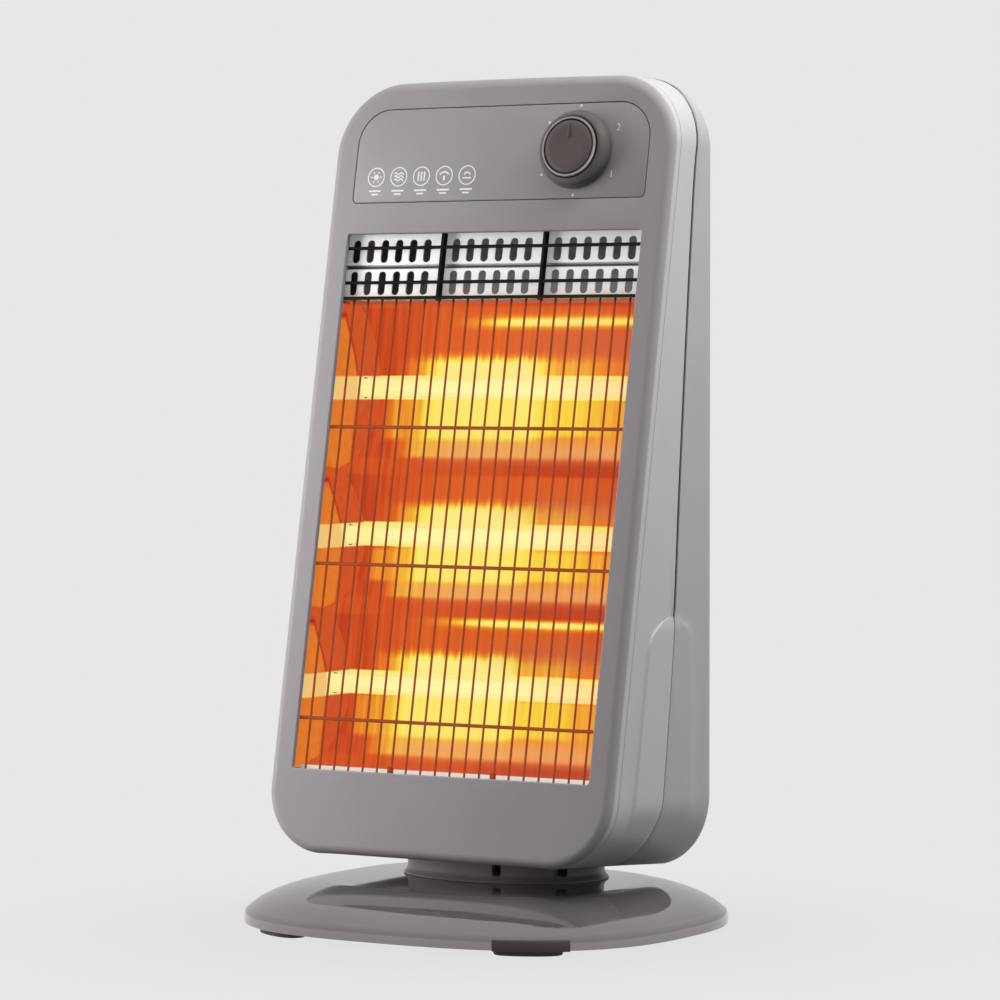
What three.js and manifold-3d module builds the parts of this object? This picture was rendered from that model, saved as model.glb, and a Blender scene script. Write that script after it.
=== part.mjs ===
// Halogen heater: a wedge-shaped head with three quartz lamps in a troughed reflector behind a wire
// guard, a rotary control on top, and a domed base on which the head swings from side to side.
// Millimetres, +Z up, front towards -Y. The origin is on the floor under the middle of the base.

import * as THREE from "three";
import { mergeVertices } from "three/addons/utils/BufferGeometryUtils.js";
import Module from "manifold-3d";

const wasm = await Module();
wasm.setup();

// ---------------------------------------------------------------- driving dimensions
const DEG = Math.PI / 180;
const FIT = 0.3; // gap left between pieces that touch
const SHEET = 1; // pressed metal

const BODY_HALF = 125; // half the head's width
const BODY_BASE = 48; // height of the head's underside
const FACE_LENGTH = 494; // front face, measured up its slope
const FACE_TILT = 10.83 * DEG; // lean of the front face
const FACE_FOOT = -67.5; // Y of the face's bottom edge
const BACK = 73; // Y of the flat back
const CORNER = 46; // top corner radius of the head seen from the front
const CORNER_LOW = 42; // and its bottom corner radius
const CROWN = 1.5; // bulge of the top edge
const SAG = { slope: 0.075, reach: 80, from: 70, full: 95 }; // both flanks run lower towards the back
const WALL = 2.5; // moulded walls
const FRONT_ROLL = 6; // rolled edge round the face
const REAR_ROLL = 12; // rolled edge round the back
const BEZEL_DEPTH = 10; // how far the front frame reaches down the sides

const WINDOW = { half: 108, low: 53, high: 396.6 };
const VENT_LOW = 354.5; // bottom edge of the slotted plate
const PANEL = {
  left: -107, right: 107.5, low: 417, high: 477.5,
  topRadius: 23, lowRadius: 3, thick: 2.2,
};
const KNOB = { x: 56.5, s: 447.5, radius: 25, height: 12.5 };

const FLOOR = BODY_BASE + WALL + FIT; // top of the head's underside, where the turntable lies

const WIRE = 0.95; // radius of a guard wire
const BORDER = 1.3; // radius of the wire round its edge
const WIRE_PITCH = 10.71;
const WIRES = 20;
const CROSS_WIRES = [85.5, 184, 272, 355.5, 365.5, 388];
const CROSS_DEPTH = 3.9; // cross wires lie in front of the uprights and are welded to them
const UPRIGHT_DEPTH = 5.6;
const INNER_DEPTH = 7; // the vent plate and the end cheeks start behind the guard
const CLIP_BARS = [6, 13]; // the uprights that carry a broad bar in front of the vent plate

const TROUGH_EDGES = [58, 157, 247, 356]; // ridges between the three troughs
const RIDGE_DEPTH = 24;
const TROUGH_DEPTH = 56;
const LAMPS = [112, 208, 304];
const LAMP_DEPTH = 40;
const LAMP_RADIUS = 6;

const SHIELD_DEPTH = TROUGH_DEPTH + SHEET + 0.3;
const SHIELD_SPAN = [56, 404];
const POSTS = [62, 348].flatMap((s) => [[-117.3, s], [117.3, s]]); // the shield is screwed to these

const SWIVEL_Y = 24; // the head turns about a vertical axis here
const CRANK_X = 30; // motor shaft from the swivel axis
const CRANK_THROW = 15;
const PIN = 2;
const PIN_SLOT = 3.4; // half the width of the yoke's slot

const BASE = { halfX: 147.5, halfY: 126.5, bulge: 2.7, skirt: 4, rim: 10 };
const HUMP_TOP = 31; // height of the dome's level top, where the neck stands
const DOME = [[0.66, HUMP_TOP], [0.74, 29.3], [0.82, 26.3], [0.9, 21.8], [0.95, 17.6], [0.985, 13.7]];
const NECK = { halfX: 66, halfY: 46 };
const FOOT = { x: 89, y: 96, halfX: 21, halfY: 10, turn: 26 * DEG };
const TIP_Y = -38; // the tip-over switch stands on the bottom plate here

// ---------------------------------------------------------------- finishes
const FINISHES = {
  bezel: [0x8e8988, 0.42, 0.35],
  shell: [0xa9a6a8, 0.45, 0.35],
  panel: [0x8c8786, 0.4, 0.35],
  dark: [0x3e3a39, 0.4, 0.1],
  cap: [0x605755, 0.45, 0.2],
  chrome: [0xdcdcdc, 0.12, 1],
  wire: [0x4a3a30, 0.35, 0.8],
  bright: [0xe8e8e6, 0.3, 0.9],
  reflector: [0xd98a4a, 0.2, 1],
  quartz: [0xffd58a, 0.1, 0],
  filament: [0xfff0c0, 0.5, 0.6],
  ceramic: [0xe9e4d8, 0.7, 0],
  steel: [0x9a9c9e, 0.4, 0.9],
  rim: [0x96908f, 0.5, 0.2],
  neck: [0x59504f, 0.5, 0.1],
  rubber: [0x2a2726, 0.85, 0],
  plastic: [0xd9d4c6, 0.6, 0],
  brass: [0xb8964a, 0.35, 0.9],
};

// ---------------------------------------------------------------- solids
// A closed geometry as a manifold solid: shared vertices merged, collapsed triangles dropped and
// the faces turned outwards.
function solid(geometry) {
  const bare = geometry.clone();
  bare.deleteAttribute("normal");
  bare.deleteAttribute("uv");
  const merged = mergeVertices(bare, 1e-4);
  const index = Array.from(merged.index.array);
  const triangles = [];
  for (let i = 0; i < index.length; i += 3) {
    const [a, b, c] = index.slice(i, i + 3);
    if (a !== b && b !== c && c !== a) triangles.push([a, b, c]);
  }
  const build = (list) =>
    new wasm.Manifold(
      new wasm.Mesh({
        numProp: 3,
        vertProperties: merged.attributes.position.array,
        triVerts: new Uint32Array(list.flat()),
      }),
    );
  const made = build(triangles);
  return made.volume() > 0 ? made : build(triangles.map(([a, b, c]) => [a, c, b]));
}

function geometryOf(body) {
  const mesh = body.getMesh();
  const geometry = new THREE.BufferGeometry();
  const positions = new Float32Array(mesh.vertProperties);
  geometry.setAttribute("position", new THREE.BufferAttribute(positions, 3));
  geometry.setIndex(new THREE.BufferAttribute(new Uint32Array(mesh.triVerts), 1));
  const flat = geometry.toNonIndexed();
  flat.computeVertexNormals();
  return flat;
}

const join = (bodies) => bodies.reduce((sum, body) => sum.add(body));
const cut = (body, tools) => tools.reduce((rest, tool) => rest.subtract(tool), body);

// Rings of points, each counter-clockwise seen from the first ring's side, skinned and capped.
function loft(rings) {
  const count = rings[0].length;
  const points = rings.flat();
  const index = [];
  for (let k = 0; k + 1 < rings.length; k++)
    for (let i = 0; i < count; i++) {
      const j = (i + 1) % count;
      const [a, b, c, d] = [k * count + i, k * count + j, (k + 1) * count + j, (k + 1) * count + i];
      index.push(a, d, c, a, c, b);
    }
  for (const [k, turn] of [[0, 1], [rings.length - 1, -1]]) {
    const middle = new THREE.Vector3();
    rings[k].forEach((p) => middle.addScaledVector(p, 1 / count));
    points.push(middle);
    for (let i = 0; i < count; i++) {
      const pair = [k * count + i, k * count + ((i + 1) % count)];
      if (turn < 0) pair.reverse();
      index.push(points.length - 1, ...pair);
    }
  }
  const geometry = new THREE.BufferGeometry().setFromPoints(points);
  geometry.setIndex(index);
  return solid(geometry);
}

const [X, Y, Z] = [new THREE.Vector3(1, 0, 0), new THREE.Vector3(0, 1, 0), new THREE.Vector3(0, 0, 1)];
const basis = (right, up, out) => new THREE.Matrix4().makeBasis(right, up, out);
const drawnOut = (shape, depth, curveSegments = 6) =>
  new THREE.ExtrudeGeometry(shape, { depth, bevelEnabled: false, curveSegments });

// A profile drawn in the (Y, Z) plane, drawn out along X.
function acrossX(profile, x0, x1) {
  const shape = new THREE.Shape(profile.map(([y, z]) => new THREE.Vector2(y, z)));
  return solid(drawnOut(shape, x1 - x0).applyMatrix4(basis(Y, Z, X)).translate(x0, 0, 0));
}

// A shape drawn on the face (X across, Z up the slope), between two depths behind the face.
function slab(shape, front, back) {
  const inward = Y.clone().negate();
  return solid(drawnOut(shape, back - front).applyMatrix4(basis(X, Z, inward)).translate(0, back, 0));
}

function block(x0, x1, y0, y1, z0, z1) {
  const geometry = new THREE.BoxGeometry(x1 - x0, y1 - y0, z1 - z0);
  return solid(geometry.translate((x0 + x1) / 2, (y0 + y1) / 2, (z0 + z1) / 2));
}

// A rectangle with its own radius at the top and at the bottom corners.
function roundedShape(x0, x1, z0, z1, top, low = top) {
  const shape = new THREE.Shape();
  shape.moveTo(x0 + low, z0).lineTo(x1 - low, z0).absarc(x1 - low, z0 + low, low, -90 * DEG, 0);
  shape.lineTo(x1, z1 - top).absarc(x1 - top, z1 - top, top, 0, 90 * DEG);
  shape.lineTo(x0 + top, z1).absarc(x0 + top, z1 - top, top, 90 * DEG, 180 * DEG);
  shape.lineTo(x0, z0 + low).absarc(x0 + low, z0 + low, low, 180 * DEG, 270 * DEG);
  return shape;
}

// A profile of (radius, height) points turned about the vertical axis through x, y.
function turnedUp(profile, x = 0, y = 0, sides = 20) {
  const points = profile.map(([r, h]) => new THREE.Vector2(r, h));
  return solid(new THREE.LatheGeometry(points, sides).rotateX(90 * DEG).translate(x, y, 0));
}

// The same turned about an axis along X, through depth y and height z.
function turnedAlongX(profile, y, z, sides = 12) {
  const points = profile.map(([r, h]) => new THREE.Vector2(r, h));
  return solid(new THREE.LatheGeometry(points, sides).rotateZ(-90 * DEG).translate(0, y, z));
}

// The same turned about the face's normal, heights standing out from the face.
function turnedOut(profile, x, z, sides = 24) {
  const points = profile.map(([r, h]) => new THREE.Vector2(r, h));
  return solid(new THREE.LatheGeometry(points, sides).rotateX(180 * DEG).translate(x, 0, z));
}

const tube = (outer, inner, low, high) =>
  [[inner, low], [outer, low], [outer, high], [inner, high], [inner, low]];
const rod = (radius, low, high) => [[0, low], [radius, low], [radius, high], [0, high]];

// ---------------------------------------------------------------- the tree of groups
const heater = new THREE.Group();
const head = new THREE.Group();
const face = new THREE.Group(); // X across, Y into the head, Z up the slope of the face
face.position.set(0, FACE_FOOT, BODY_BASE);
face.rotation.x = -FACE_TILT;
face.updateMatrix();
head.add(face);
heater.add(head);

function place(group, name, body, finish) {
  const [color, roughness, metalness] = FINISHES[finish];
  const material = new THREE.MeshStandardMaterial({ color, roughness, metalness });
  const mesh = new THREE.Mesh(geometryOf(body), material);
  mesh.name = name;
  group.add(mesh);
}

const onFace = (body) => body.transform(face.matrix.toArray());

// ---------------------------------------------------------------- head: moulded shells
const heightAt = (s) => BODY_BASE + s * Math.cos(FACE_TILT);
const frontAt = (z) => FACE_FOOT + (z - BODY_BASE) * Math.tan(FACE_TILT);

// The head's outline on the face, moved in by inset: (x, s) pairs, counter-clockwise.
function faceOutline(inset) {
  const arcSteps = 5;
  const points = [];
  const corner = (side, level, radius, from) => {
    for (let i = 0; i <= arcSteps; i++) {
      const angle = (from + (i * 90) / arcSteps) * DEG;
      const [x, s] = [side * (BODY_HALF - radius), Math.abs(level - radius)];
      points.push([x + (radius - inset) * Math.cos(angle), s + (radius - inset) * Math.sin(angle)]);
    }
  };
  corner(1, 0, CORNER_LOW, -90);
  corner(1, FACE_LENGTH, CORNER, 0);
  for (const x of [40, 0, -40]) points.push([x, FACE_LENGTH - inset]);
  corner(-1, FACE_LENGTH, CORNER, 90);
  corner(-1, 0, CORNER_LOW, 180);
  for (const x of [-SAG.from, 0, SAG.from]) points.push([x, inset]);
  return points.map(([x, s]) => [x, s + CROWN * (s / FACE_LENGTH) * (1 - (x / BODY_HALF) ** 2)]);
}

// How far the head's outline hangs lower at depth y: nothing on the face and over the neck.
const ramp = (value, from, to) => THREE.MathUtils.smoothstep(value, from, to);
function sagAt(x, s, y) {
  const depth = y - frontAt(heightAt(s));
  return SAG.slope * depth * (1 - ramp(s, 0, SAG.reach)) * ramp(Math.abs(x), SAG.from, SAG.full);
}

// The whole head as one wedge, moved in by inset on every side.
function wedge(inset, steps = 3) {
  const ring = (rolled, yOf) =>
    faceOutline(rolled).map(([x, s]) => {
      const y = yOf(heightAt(s));
      return new THREE.Vector3(x, y, heightAt(s) - sagAt(x, s, y));
    });
  const rings = [];
  for (let i = 0; i <= steps; i++) {
    const angle = (i / steps) * 90 * DEG;
    const roll = FRONT_ROLL - inset;
    const depth = inset + roll * (1 - Math.cos(angle));
    rings.push(ring(inset + roll * (1 - Math.sin(angle)), (z) => frontAt(z) + depth));
  }
  for (let i = 0; i <= steps; i++) {
    const angle = (i / steps) * 90 * DEG;
    const roll = REAR_ROLL - inset;
    const y = BACK - inset - roll * (1 - Math.sin(angle));
    rings.push(ring(inset + roll * (1 - Math.cos(angle)), () => y));
  }
  return loft(rings);
}

// Where the side seam between the front and the rear shell runs: (y, z) from bottom to top.
const SEAM = new THREE.SplineCurve(
  [[-8, 40], [2.3, 87], [17.1, 195], [24.6, 285], [42, 465], [49.5, 503], [62, 540]]
    .map((p) => new THREE.Vector2(...p)),
);
const SEAM_STEP = 195; // the shadow gap is wide above this height
const seamLine = (offset, shadow = 0) =>
  SEAM.getPoints(9).map(({ x, y }) => [x + offset + (y > SEAM_STEP ? shadow : 0), y]);
const slopeLine = (depth) => [40, 540].map((z) => [frontAt(z) + depth, z]);
const between = (near, far) => acrossX([...near, ...far.reverse()], -BODY_HALF - 10, BODY_HALF + 10);
const FRONT_OF_ALL = [[-120, 40], [-120, 540]];
const BEHIND_ALL = [[120, 40], [120, 540]];

// A low arched pad on each side, over the swivel: it follows the head's surface, two steps high.
function sidePads() {
  const pad = (raised, grown) => {
    const [front, rear, low, top] = [28 - grown, 41.5 + grown, 72 - grown, 198 + grown];
    const ridge = (z) => frontAt(z) + front;
    const [shoulder, crest] = [top - 18, 15];
    const arch = (from, bend, to) =>
      new THREE.QuadraticBezierCurve(...[from, bend, to].map((p) => new THREE.Vector2(...p)))
        .getPoints(4).map(({ x, y }) => [x, y]);
    const outline = [
      [ridge(low), low], [rear, low],
      ...arch([rear, shoulder], [rear - 2, top], [crest, top]),
      ...arch([crest, top], [ridge(shoulder) + 6, top], [ridge(shoulder), shoulder]).slice(1),
    ];
    return wedge(-raised).intersect(acrossX(outline, -BODY_HALF - 10, BODY_HALF + 10));
  };
  return pad(0.7, 1).add(pad(1.4, 0));
}

const outer = wedge(0).add(sidePads());
const skinOf = outer.subtract(wedge(WALL));
const lipSkin = wedge(WALL + 0.4, 1).subtract(wedge(WALL + 2, 1));
const lipRoot = wedge(WALL - 0.2, 1).subtract(wedge(WALL + 2, 1));

const panelShape = (grow) =>
  roundedShape(
    PANEL.left - grow, PANEL.right + grow, PANEL.low - grow, PANEL.high + grow,
    PANEL.topRadius + grow, PANEL.lowRadius + grow,
  );

function frontBezel() {
  const frame = skinOf.intersect(between(FRONT_OF_ALL, slopeLine(BEZEL_DEPTH)));
  const backing = slab(panelShape(4), WALL - 0.4, PANEL.thick + FIT + 2);
  const windowShape = roundedShape(-WINDOW.half, WINDOW.half, WINDOW.low, WINDOW.high, 1.5);
  const openings = [
    slab(windowShape, -5, 20),
    slab(panelShape(0.5), -5, PANEL.thick + FIT),
    turnedOut(rod(6, -20, 20), KNOB.x, KNOB.s, 20),
  ];
  const posts = POSTS.map(([x, s]) => turnedOut(rod(2.6, -SHIELD_DEPTH + FIT, -WALL + 0.5), x, s, 12));
  return cut(join([frame, onFace(backing), ...posts.map(onFace)]), openings.map(onFace));
}

function frontShell() {
  const shell = skinOf.intersect(between(slopeLine(BEZEL_DEPTH + FIT), seamLine(0)));
  const lip = join([
    lipRoot.intersect(between(slopeLine(BEZEL_DEPTH + 1), slopeLine(BEZEL_DEPTH + 5))),
    lipSkin.intersect(between(slopeLine(BEZEL_DEPTH - 4), slopeLine(BEZEL_DEPTH + 3))),
  ]);
  return shell.add(lip);
}

// Louvres in two fields, a hand grip and the way out for the lead.
const GRIP = { half: 55, low: 468, high: 500, depth: 16 };
const LOUVRE_FIELDS = [[112, 7], [315, 7]]; // first row, rows
const LOUVRE = { pitch: 15, height: 3.5, inner: 6, outer: 82 };
const LEAD = { x: -70, z: 84, radius: 6 };

function rearShell() {
  const shell = skinOf.intersect(between(seamLine(0.8, 1.8), BEHIND_ALL));
  const lip = join([
    lipRoot.intersect(between(seamLine(2, 1.8), seamLine(7, 1.8))),
    lipSkin.intersect(between(seamLine(-4), seamLine(5, 1.8))),
  ]).subtract(block(-BODY_HALF, BODY_HALF, -60, 60, 40, FLOOR + 4));
  const gripShape = (grow) =>
    roundedShape(-GRIP.half - grow, GRIP.half + grow, GRIP.low - grow, GRIP.high + grow, 8 + grow);
  const gripCup = slab(gripShape(WALL), BACK - GRIP.depth - WALL, BACK - 1);
  const tools = [slab(gripShape(0), BACK - GRIP.depth, BACK + 5)];
  for (const [first, rows] of LOUVRE_FIELDS)
    for (let row = 0; row < rows; row++)
      for (const side of [-1, 1]) {
        const z = first + row * LOUVRE.pitch;
        const ends = [side * LOUVRE.inner, side * LOUVRE.outer].sort((a, b) => a - b);
        tools.push(block(...ends, BACK - 5, BACK + 5, z, z + LOUVRE.height));
      }
  tools.push(turnedUp(rod(15, 40, 56), 0, SWIVEL_Y, 24));
  tools.push(turnedUp(rod(20, 40, 56), CRANK_X, SWIVEL_Y, 24));
  const leadHole = new THREE.CylinderGeometry(LEAD.radius, LEAD.radius, 20, 16);
  tools.push(solid(leadHole.translate(LEAD.x, BACK, LEAD.z)));
  return cut(join([shell, lip, gripCup]), tools);
}

place(head, "front_bezel", frontBezel(), "bezel");
place(head, "front_shell", frontShell(), "shell");
place(head, "rear_shell", rearShell(), "shell");

// A flanged bush guards the lead where it leaves the rear shell.
const glandPoints = [
  [3.5, -8], [LEAD.radius - FIT, -8], [LEAD.radius - FIT, 0.3], [8.5, 0.3],
  [8, 3], [4.5, 5], [3.5, 5], [3.5, -8],
];
const gland = new THREE.LatheGeometry(glandPoints.map((p) => new THREE.Vector2(...p)), 16);
place(head, "lead_gland", solid(gland.translate(LEAD.x, BACK, LEAD.z)), "rubber");

// ---------------------------------------------------------------- head: control panel and knob
const panelPlate = slab(panelShape(0), 0, PANEL.thick);
place(face, "control_panel", panelPlate.subtract(turnedOut(rod(5, -20, 20), KNOB.x, KNOB.s, 20)), "panel");

const SWITCH_FACE = PANEL.thick + FIT + 2 + FIT;
function rotarySwitch() {
  const body = turnedOut(rod(15, -SWITCH_FACE - 17, -SWITCH_FACE), KNOB.x, KNOB.s, 20);
  const bush = turnedOut(rod(4.6, -SWITCH_FACE - 1, -1), KNOB.x, KNOB.s, 12);
  const tabs = [-9, -3, 3, 9].map((x) =>
    block(KNOB.x + x - 0.4, KNOB.x + x + 0.4, SWITCH_FACE + 16, SWITCH_FACE + 25, KNOB.s - 3, KNOB.s + 3),
  );
  return cut(join([body, bush, ...tabs]), [turnedOut(rod(3.4, -SWITCH_FACE - 12, 5), KNOB.x, KNOB.s, 12)]);
}
place(face, "rotary_switch", rotarySwitch(), "plastic");
place(face, "switch_shaft", turnedOut(rod(3, -SWITCH_FACE - 10, 5.6), KNOB.x, KNOB.s, 12), "brass");

const knobProfile = [
  [3.3, 0.5], [24.3, 0.5], [KNOB.radius, 1.4], [KNOB.radius, 3], [24, 5.6], [21.8, 8.4],
  [20.4, 9.4], [19.7, 9.4], [19.7, 7], [0, 7], [0, 6], [3.3, 6], [3.3, 0.5],
];
place(face, "knob_body", turnedOut(knobProfile, KNOB.x, KNOB.s), "dark");
const ringProfile = [
  [17.4, 7.3], [19.3, 7.3], [19.3, 10.4], [18.7, 11.2], [18, 11.2], [17.4, 10.4], [17.4, 7.3],
];
place(face, "knob_ring", turnedOut(ringProfile, KNOB.x, KNOB.s), "chrome");
const capProfile = [
  [0, 7.3], [17.1, 7.3], [17.1, 10], [16, 11.6], [12, KNOB.height], [0, KNOB.height - 0.6],
];
const pointer = block(KNOB.x - 0.9, KNOB.x + 0.9, -KNOB.height - 0.3, -9, KNOB.s + 5, KNOB.s + 14.5);
place(face, "knob_cap", turnedOut(capProfile, KNOB.x, KNOB.s).add(pointer), "cap");

// ---------------------------------------------------------------- head: wire guard and vent plate
const uprightX = (i) => (i - (WIRES - 1) / 2) * WIRE_PITCH;
const GUARD_LAP = 3.6; // how far the guard runs behind the frame
const GUARD_EDGE = {
  half: WINDOW.half + GUARD_LAP, low: WINDOW.low - GUARD_LAP, high: WINDOW.high + GUARD_LAP,
};

// Welded steel wire: a border, cross wires and twenty uprights. Eighteen end below the vent plate, and
// two run on under a broad bar, with a clip that holds the guard at its foot.
function guard() {
  const wire = (radius, from, to) => {
    const path = new THREE.LineCurve3(from, to);
    const section = new THREE.Shape();
    for (let i = 0; i < 5; i++) {
      const angle = (i + 0.5) * 72 * DEG;
      const at = [radius * Math.cos(angle), radius * Math.sin(angle)];
      if (i) section.lineTo(...at);
      else section.moveTo(...at);
    }
    return solid(new THREE.ExtrudeGeometry(section, { steps: 1, extrudePath: path }));
  };
  const at = (x, depth, s) => new THREE.Vector3(x, depth, s);
  const middle = (CROSS_DEPTH + UPRIGHT_DEPTH) / 2;
  const { half, low, high } = GUARD_EDGE;
  const pieces = [];
  for (let i = 0; i < WIRES; i++) {
    const top = CLIP_BARS.includes(i) ? high : VENT_LOW + 1.8;
    pieces.push(wire(WIRE, at(uprightX(i), UPRIGHT_DEPTH, low), at(uprightX(i), UPRIGHT_DEPTH, top)));
  }
  for (const s of CROSS_WIRES)
    pieces.push(wire(WIRE, at(-half, CROSS_DEPTH, s), at(half, CROSS_DEPTH, s)));
  for (const x of [-half, half])
    pieces.push(wire(BORDER, at(x, middle, low - 1), at(x, middle, high + 1)));
  for (const s of [low, high])
    pieces.push(wire(BORDER, at(-half - 1, middle, s), at(half + 1, middle, s)));
  for (const i of CLIP_BARS)
    for (const [from, to] of [[VENT_LOW - 1, high], [low, WINDOW.low + 4]])
      pieces.push(block(uprightX(i) - 2.3, uprightX(i) + 2.3, 3.3, UPRIGHT_DEPTH, from, to));
  return join(pieces);
}
place(face, "wire_guard", guard(), "wire");

// Bright sheet with two rows of slots, a pressed groove between the rows and a lip to the reflector.
const VENT_ROWS = [[358, 373.5], [379, 394]];
function ventPlate() {
  const slotShape = (x, low, high) => {
    const [half, nose] = [2, 1.5];
    const outline = [
      [half, low + nose], [half, high - nose], [0, high],
      [-half, high - nose], [-half, low + nose], [0, low],
    ];
    return new THREE.Shape(outline.map(([dx, s]) => new THREE.Vector2(x + dx, s)));
  };
  const [d, t] = [INNER_DEPTH, SHEET];
  const groove = (VENT_ROWS[0][1] + VENT_ROWS[1][0]) / 2;
  const top = WINDOW.high + 5;
  const outline = [
    [d + 12, VENT_LOW], [d, VENT_LOW], [d, groove - 1.5], [d + 2, groove], [d, groove + 1.5], [d, top],
    [d + t, top], [d + t, groove + 2], [d + 3, groove], [d + t, groove - 2], [d + t, VENT_LOW + t],
    [d + 12, VENT_LOW + t],
  ];
  const sheet = acrossX(outline, -WINDOW.half - 3, WINDOW.half + 3);
  const slots = [];
  for (let i = 0; i < WIRES; i++)
    if (!CLIP_BARS.includes(i))
      for (const [low, high] of VENT_ROWS)
        slots.push(slab(slotShape(uprightX(i), low, high), d - 2, d + 4));
  return cut(sheet, slots);
}
place(face, "vent_plate", ventPlate(), "bright");

// ---------------------------------------------------------------- head: reflector and lamps
// The polished sheet's line from the bottom lip through three parabolic troughs: (depth, s).
function troughLine() {
  const line = [[INNER_DEPTH + 1, WINDOW.low - 2], [INNER_DEPTH + 1, WINDOW.low + 3]];
  const steps = 8;
  for (let t = 0; t < LAMPS.length; t++) {
    const [low, high] = [TROUGH_EDGES[t], TROUGH_EDGES[t + 1]];
    for (let i = t ? 1 : 0; i <= steps; i++) {
      const across = (2 * i) / steps - 1;
      const depth = RIDGE_DEPTH + (TROUGH_DEPTH - RIDGE_DEPTH) * (1 - across ** 2);
      line.push([depth, low + ((high - low) * i) / steps]);
    }
  }
  return [...line, [INNER_DEPTH + 12.5, TROUGH_EDGES[3]]];
}

const troughs = troughLine();
const sheetBack = troughs.map(([d, s], i) => {
  const before = troughs[Math.max(i - 1, 0)];
  const after = troughs[Math.min(i + 1, troughs.length - 1)];
  const run = Math.hypot(after[0] - before[0], after[1] - before[1]);
  return [d + (SHEET * (after[1] - before[1])) / run, s - (SHEET * (after[0] - before[0])) / run];
});
const reflector = acrossX([...troughs, ...sheetBack.reverse()], -WINDOW.half + 0.2, WINDOW.half - 0.2);
place(face, "reflector", reflector, "reflector");

const CHEEK = WINDOW.half + 0.5; // inner face of an end cheek
for (const [name, side] of [["left", -1], ["right", 1]]) {
  const span = (a, b) => [side * a, side * b].sort((p, q) => p - q);
  const front = INNER_DEPTH + SHEET;
  const outline = [[front, 54], [TROUGH_DEPTH + 1, 62], [TROUGH_DEPTH + 1, 350], [front, 353]];
  const plate = acrossX(outline, ...span(CHEEK, CHEEK + SHEET));
  const flange = block(...span(CHEEK, CHEEK + 5.5), front, front + SHEET, 54, 353);
  const holes = LAMPS.map((s) => turnedAlongX(rod(LAMP_RADIUS + 1, -130, 130), LAMP_DEPTH, s, 12));
  place(face, "end_cheek_" + name, cut(plate.add(flange), holes), "reflector");
}

const shieldPlate = block(-119.8, 119.8, SHIELD_DEPTH, SHIELD_DEPTH + SHEET, ...SHIELD_SPAN);
const shieldFlanges = [SHIELD_SPAN[0], SHIELD_SPAN[1] - SHEET].map((s) =>
  block(-112, 112, SHIELD_DEPTH - 12, SHIELD_DEPTH + SHEET, s, s + SHEET),
);
place(face, "heat_shield", join([shieldPlate, ...shieldFlanges]), "steel");

// A quartz tube, its coiled filament on support rings, and a ceramic holder at each end.
const HOLDER = CHEEK + SHEET + FIT;
const LAMP_END = HOLDER + 2.2;
LAMPS.forEach((s, i) => {
  const number = i + 1;
  const bore = LAMP_RADIUS - 1.2;
  const glass = turnedAlongX(tube(LAMP_RADIUS, bore, -LAMP_END, LAMP_END), LAMP_DEPTH, s);
  place(face, "lamp_tube_" + number, glass, "quartz");
  const ring = bore - 0.5;
  const filament = [[0, -LAMP_END], [1.3, -LAMP_END]];
  for (const x of [-70, 0, 70]) {
    filament.push([1.3, x - 0.6], [ring, x - 0.6], [ring, x + 0.6], [1.3, x + 0.6]);
  }
  filament.push([1.3, LAMP_END], [0, LAMP_END]);
  place(face, "filament_" + number, turnedAlongX(filament, LAMP_DEPTH, s, 6), "filament");
  for (const [name, side] of [["left", -1], ["right", 1]]) {
    const profile = [[0, HOLDER + 10.3], [7.5, HOLDER + 10.3], [7.5, HOLDER], [LAMP_RADIUS + 0.5, HOLDER]];
    profile.push([LAMP_RADIUS + 0.5, LAMP_END + FIT], [0, LAMP_END + FIT]);
    const holder = turnedAlongX(profile.map(([r, x]) => [r, side * x]), LAMP_DEPTH, s, 10);
    place(face, "lamp_holder_" + number + "_" + name, holder, "ceramic");
  }
});

// A bimetal disc thermostat on the back of the shield cuts the lamps off if the head overheats.
const cutoutFace = -SHIELD_DEPTH - SHEET - FIT;
const cutoutProfile = [[0, 0], [8, 0], [8, -4], [6, -7], [0, -7]].map(([r, h]) => [r, cutoutFace + h]);
const cutoutBody = turnedOut(cutoutProfile, 0, 150, 20);
const cutoutTabs = [-4, 4].map((x) =>
  block(x - 2.4, x + 2.4, -cutoutFace + 5, -cutoutFace + 5.8, 150, 164),
);
place(face, "thermal_cutout", join([cutoutBody, ...cutoutTabs]), "dark");

// ---------------------------------------------------------------- head: floor, motor and wiring block
function turntable() {
  const outline = roundedShape(-62, 78, SWIVEL_Y - 35, SWIVEL_Y + 35, 12);
  const plate = solid(drawnOut(outline, 2, 4).translate(0, 0, FLOOR));
  const spindleHole = turnedUp(rod(8 + FIT, 40, 60), 0, SWIVEL_Y, 24);
  const crankHole = turnedUp(rod(4.2, 40, 60), CRANK_X, SWIVEL_Y, 16);
  return cut(plate, [spindleHole, crankHole]);
}
place(head, "turntable", turntable(), "steel");

const MOTOR_LOW = FLOOR + 2 + FIT;
const MOTOR_X = CRANK_X + 14.3; // the gearbox brings the shaft out away from the middle of the can
function swivelMotor() {
  const profile = [[0, 0], [25, 0], [25, 14], [23.5, 15.5], [0, 15.5]];
  const can = turnedUp(profile.map(([r, h]) => [r, h + MOTOR_LOW]), MOTOR_X, SWIVEL_Y, 24);
  const ears = [[-32, -20], [20, 32]].map(([near, far]) =>
    block(MOTOR_X - 5, MOTOR_X + 5, SWIVEL_Y + near, SWIVEL_Y + far, MOTOR_LOW, MOTOR_LOW + 1.2),
  );
  const shaftWay = turnedUp(rod(3.8, MOTOR_LOW - 1, MOTOR_LOW + 8), CRANK_X, SWIVEL_Y, 16);
  return cut(join([can, ...ears]), [shaftWay]);
}
place(head, "swivel_motor", swivelMotor(), "steel");

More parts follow.
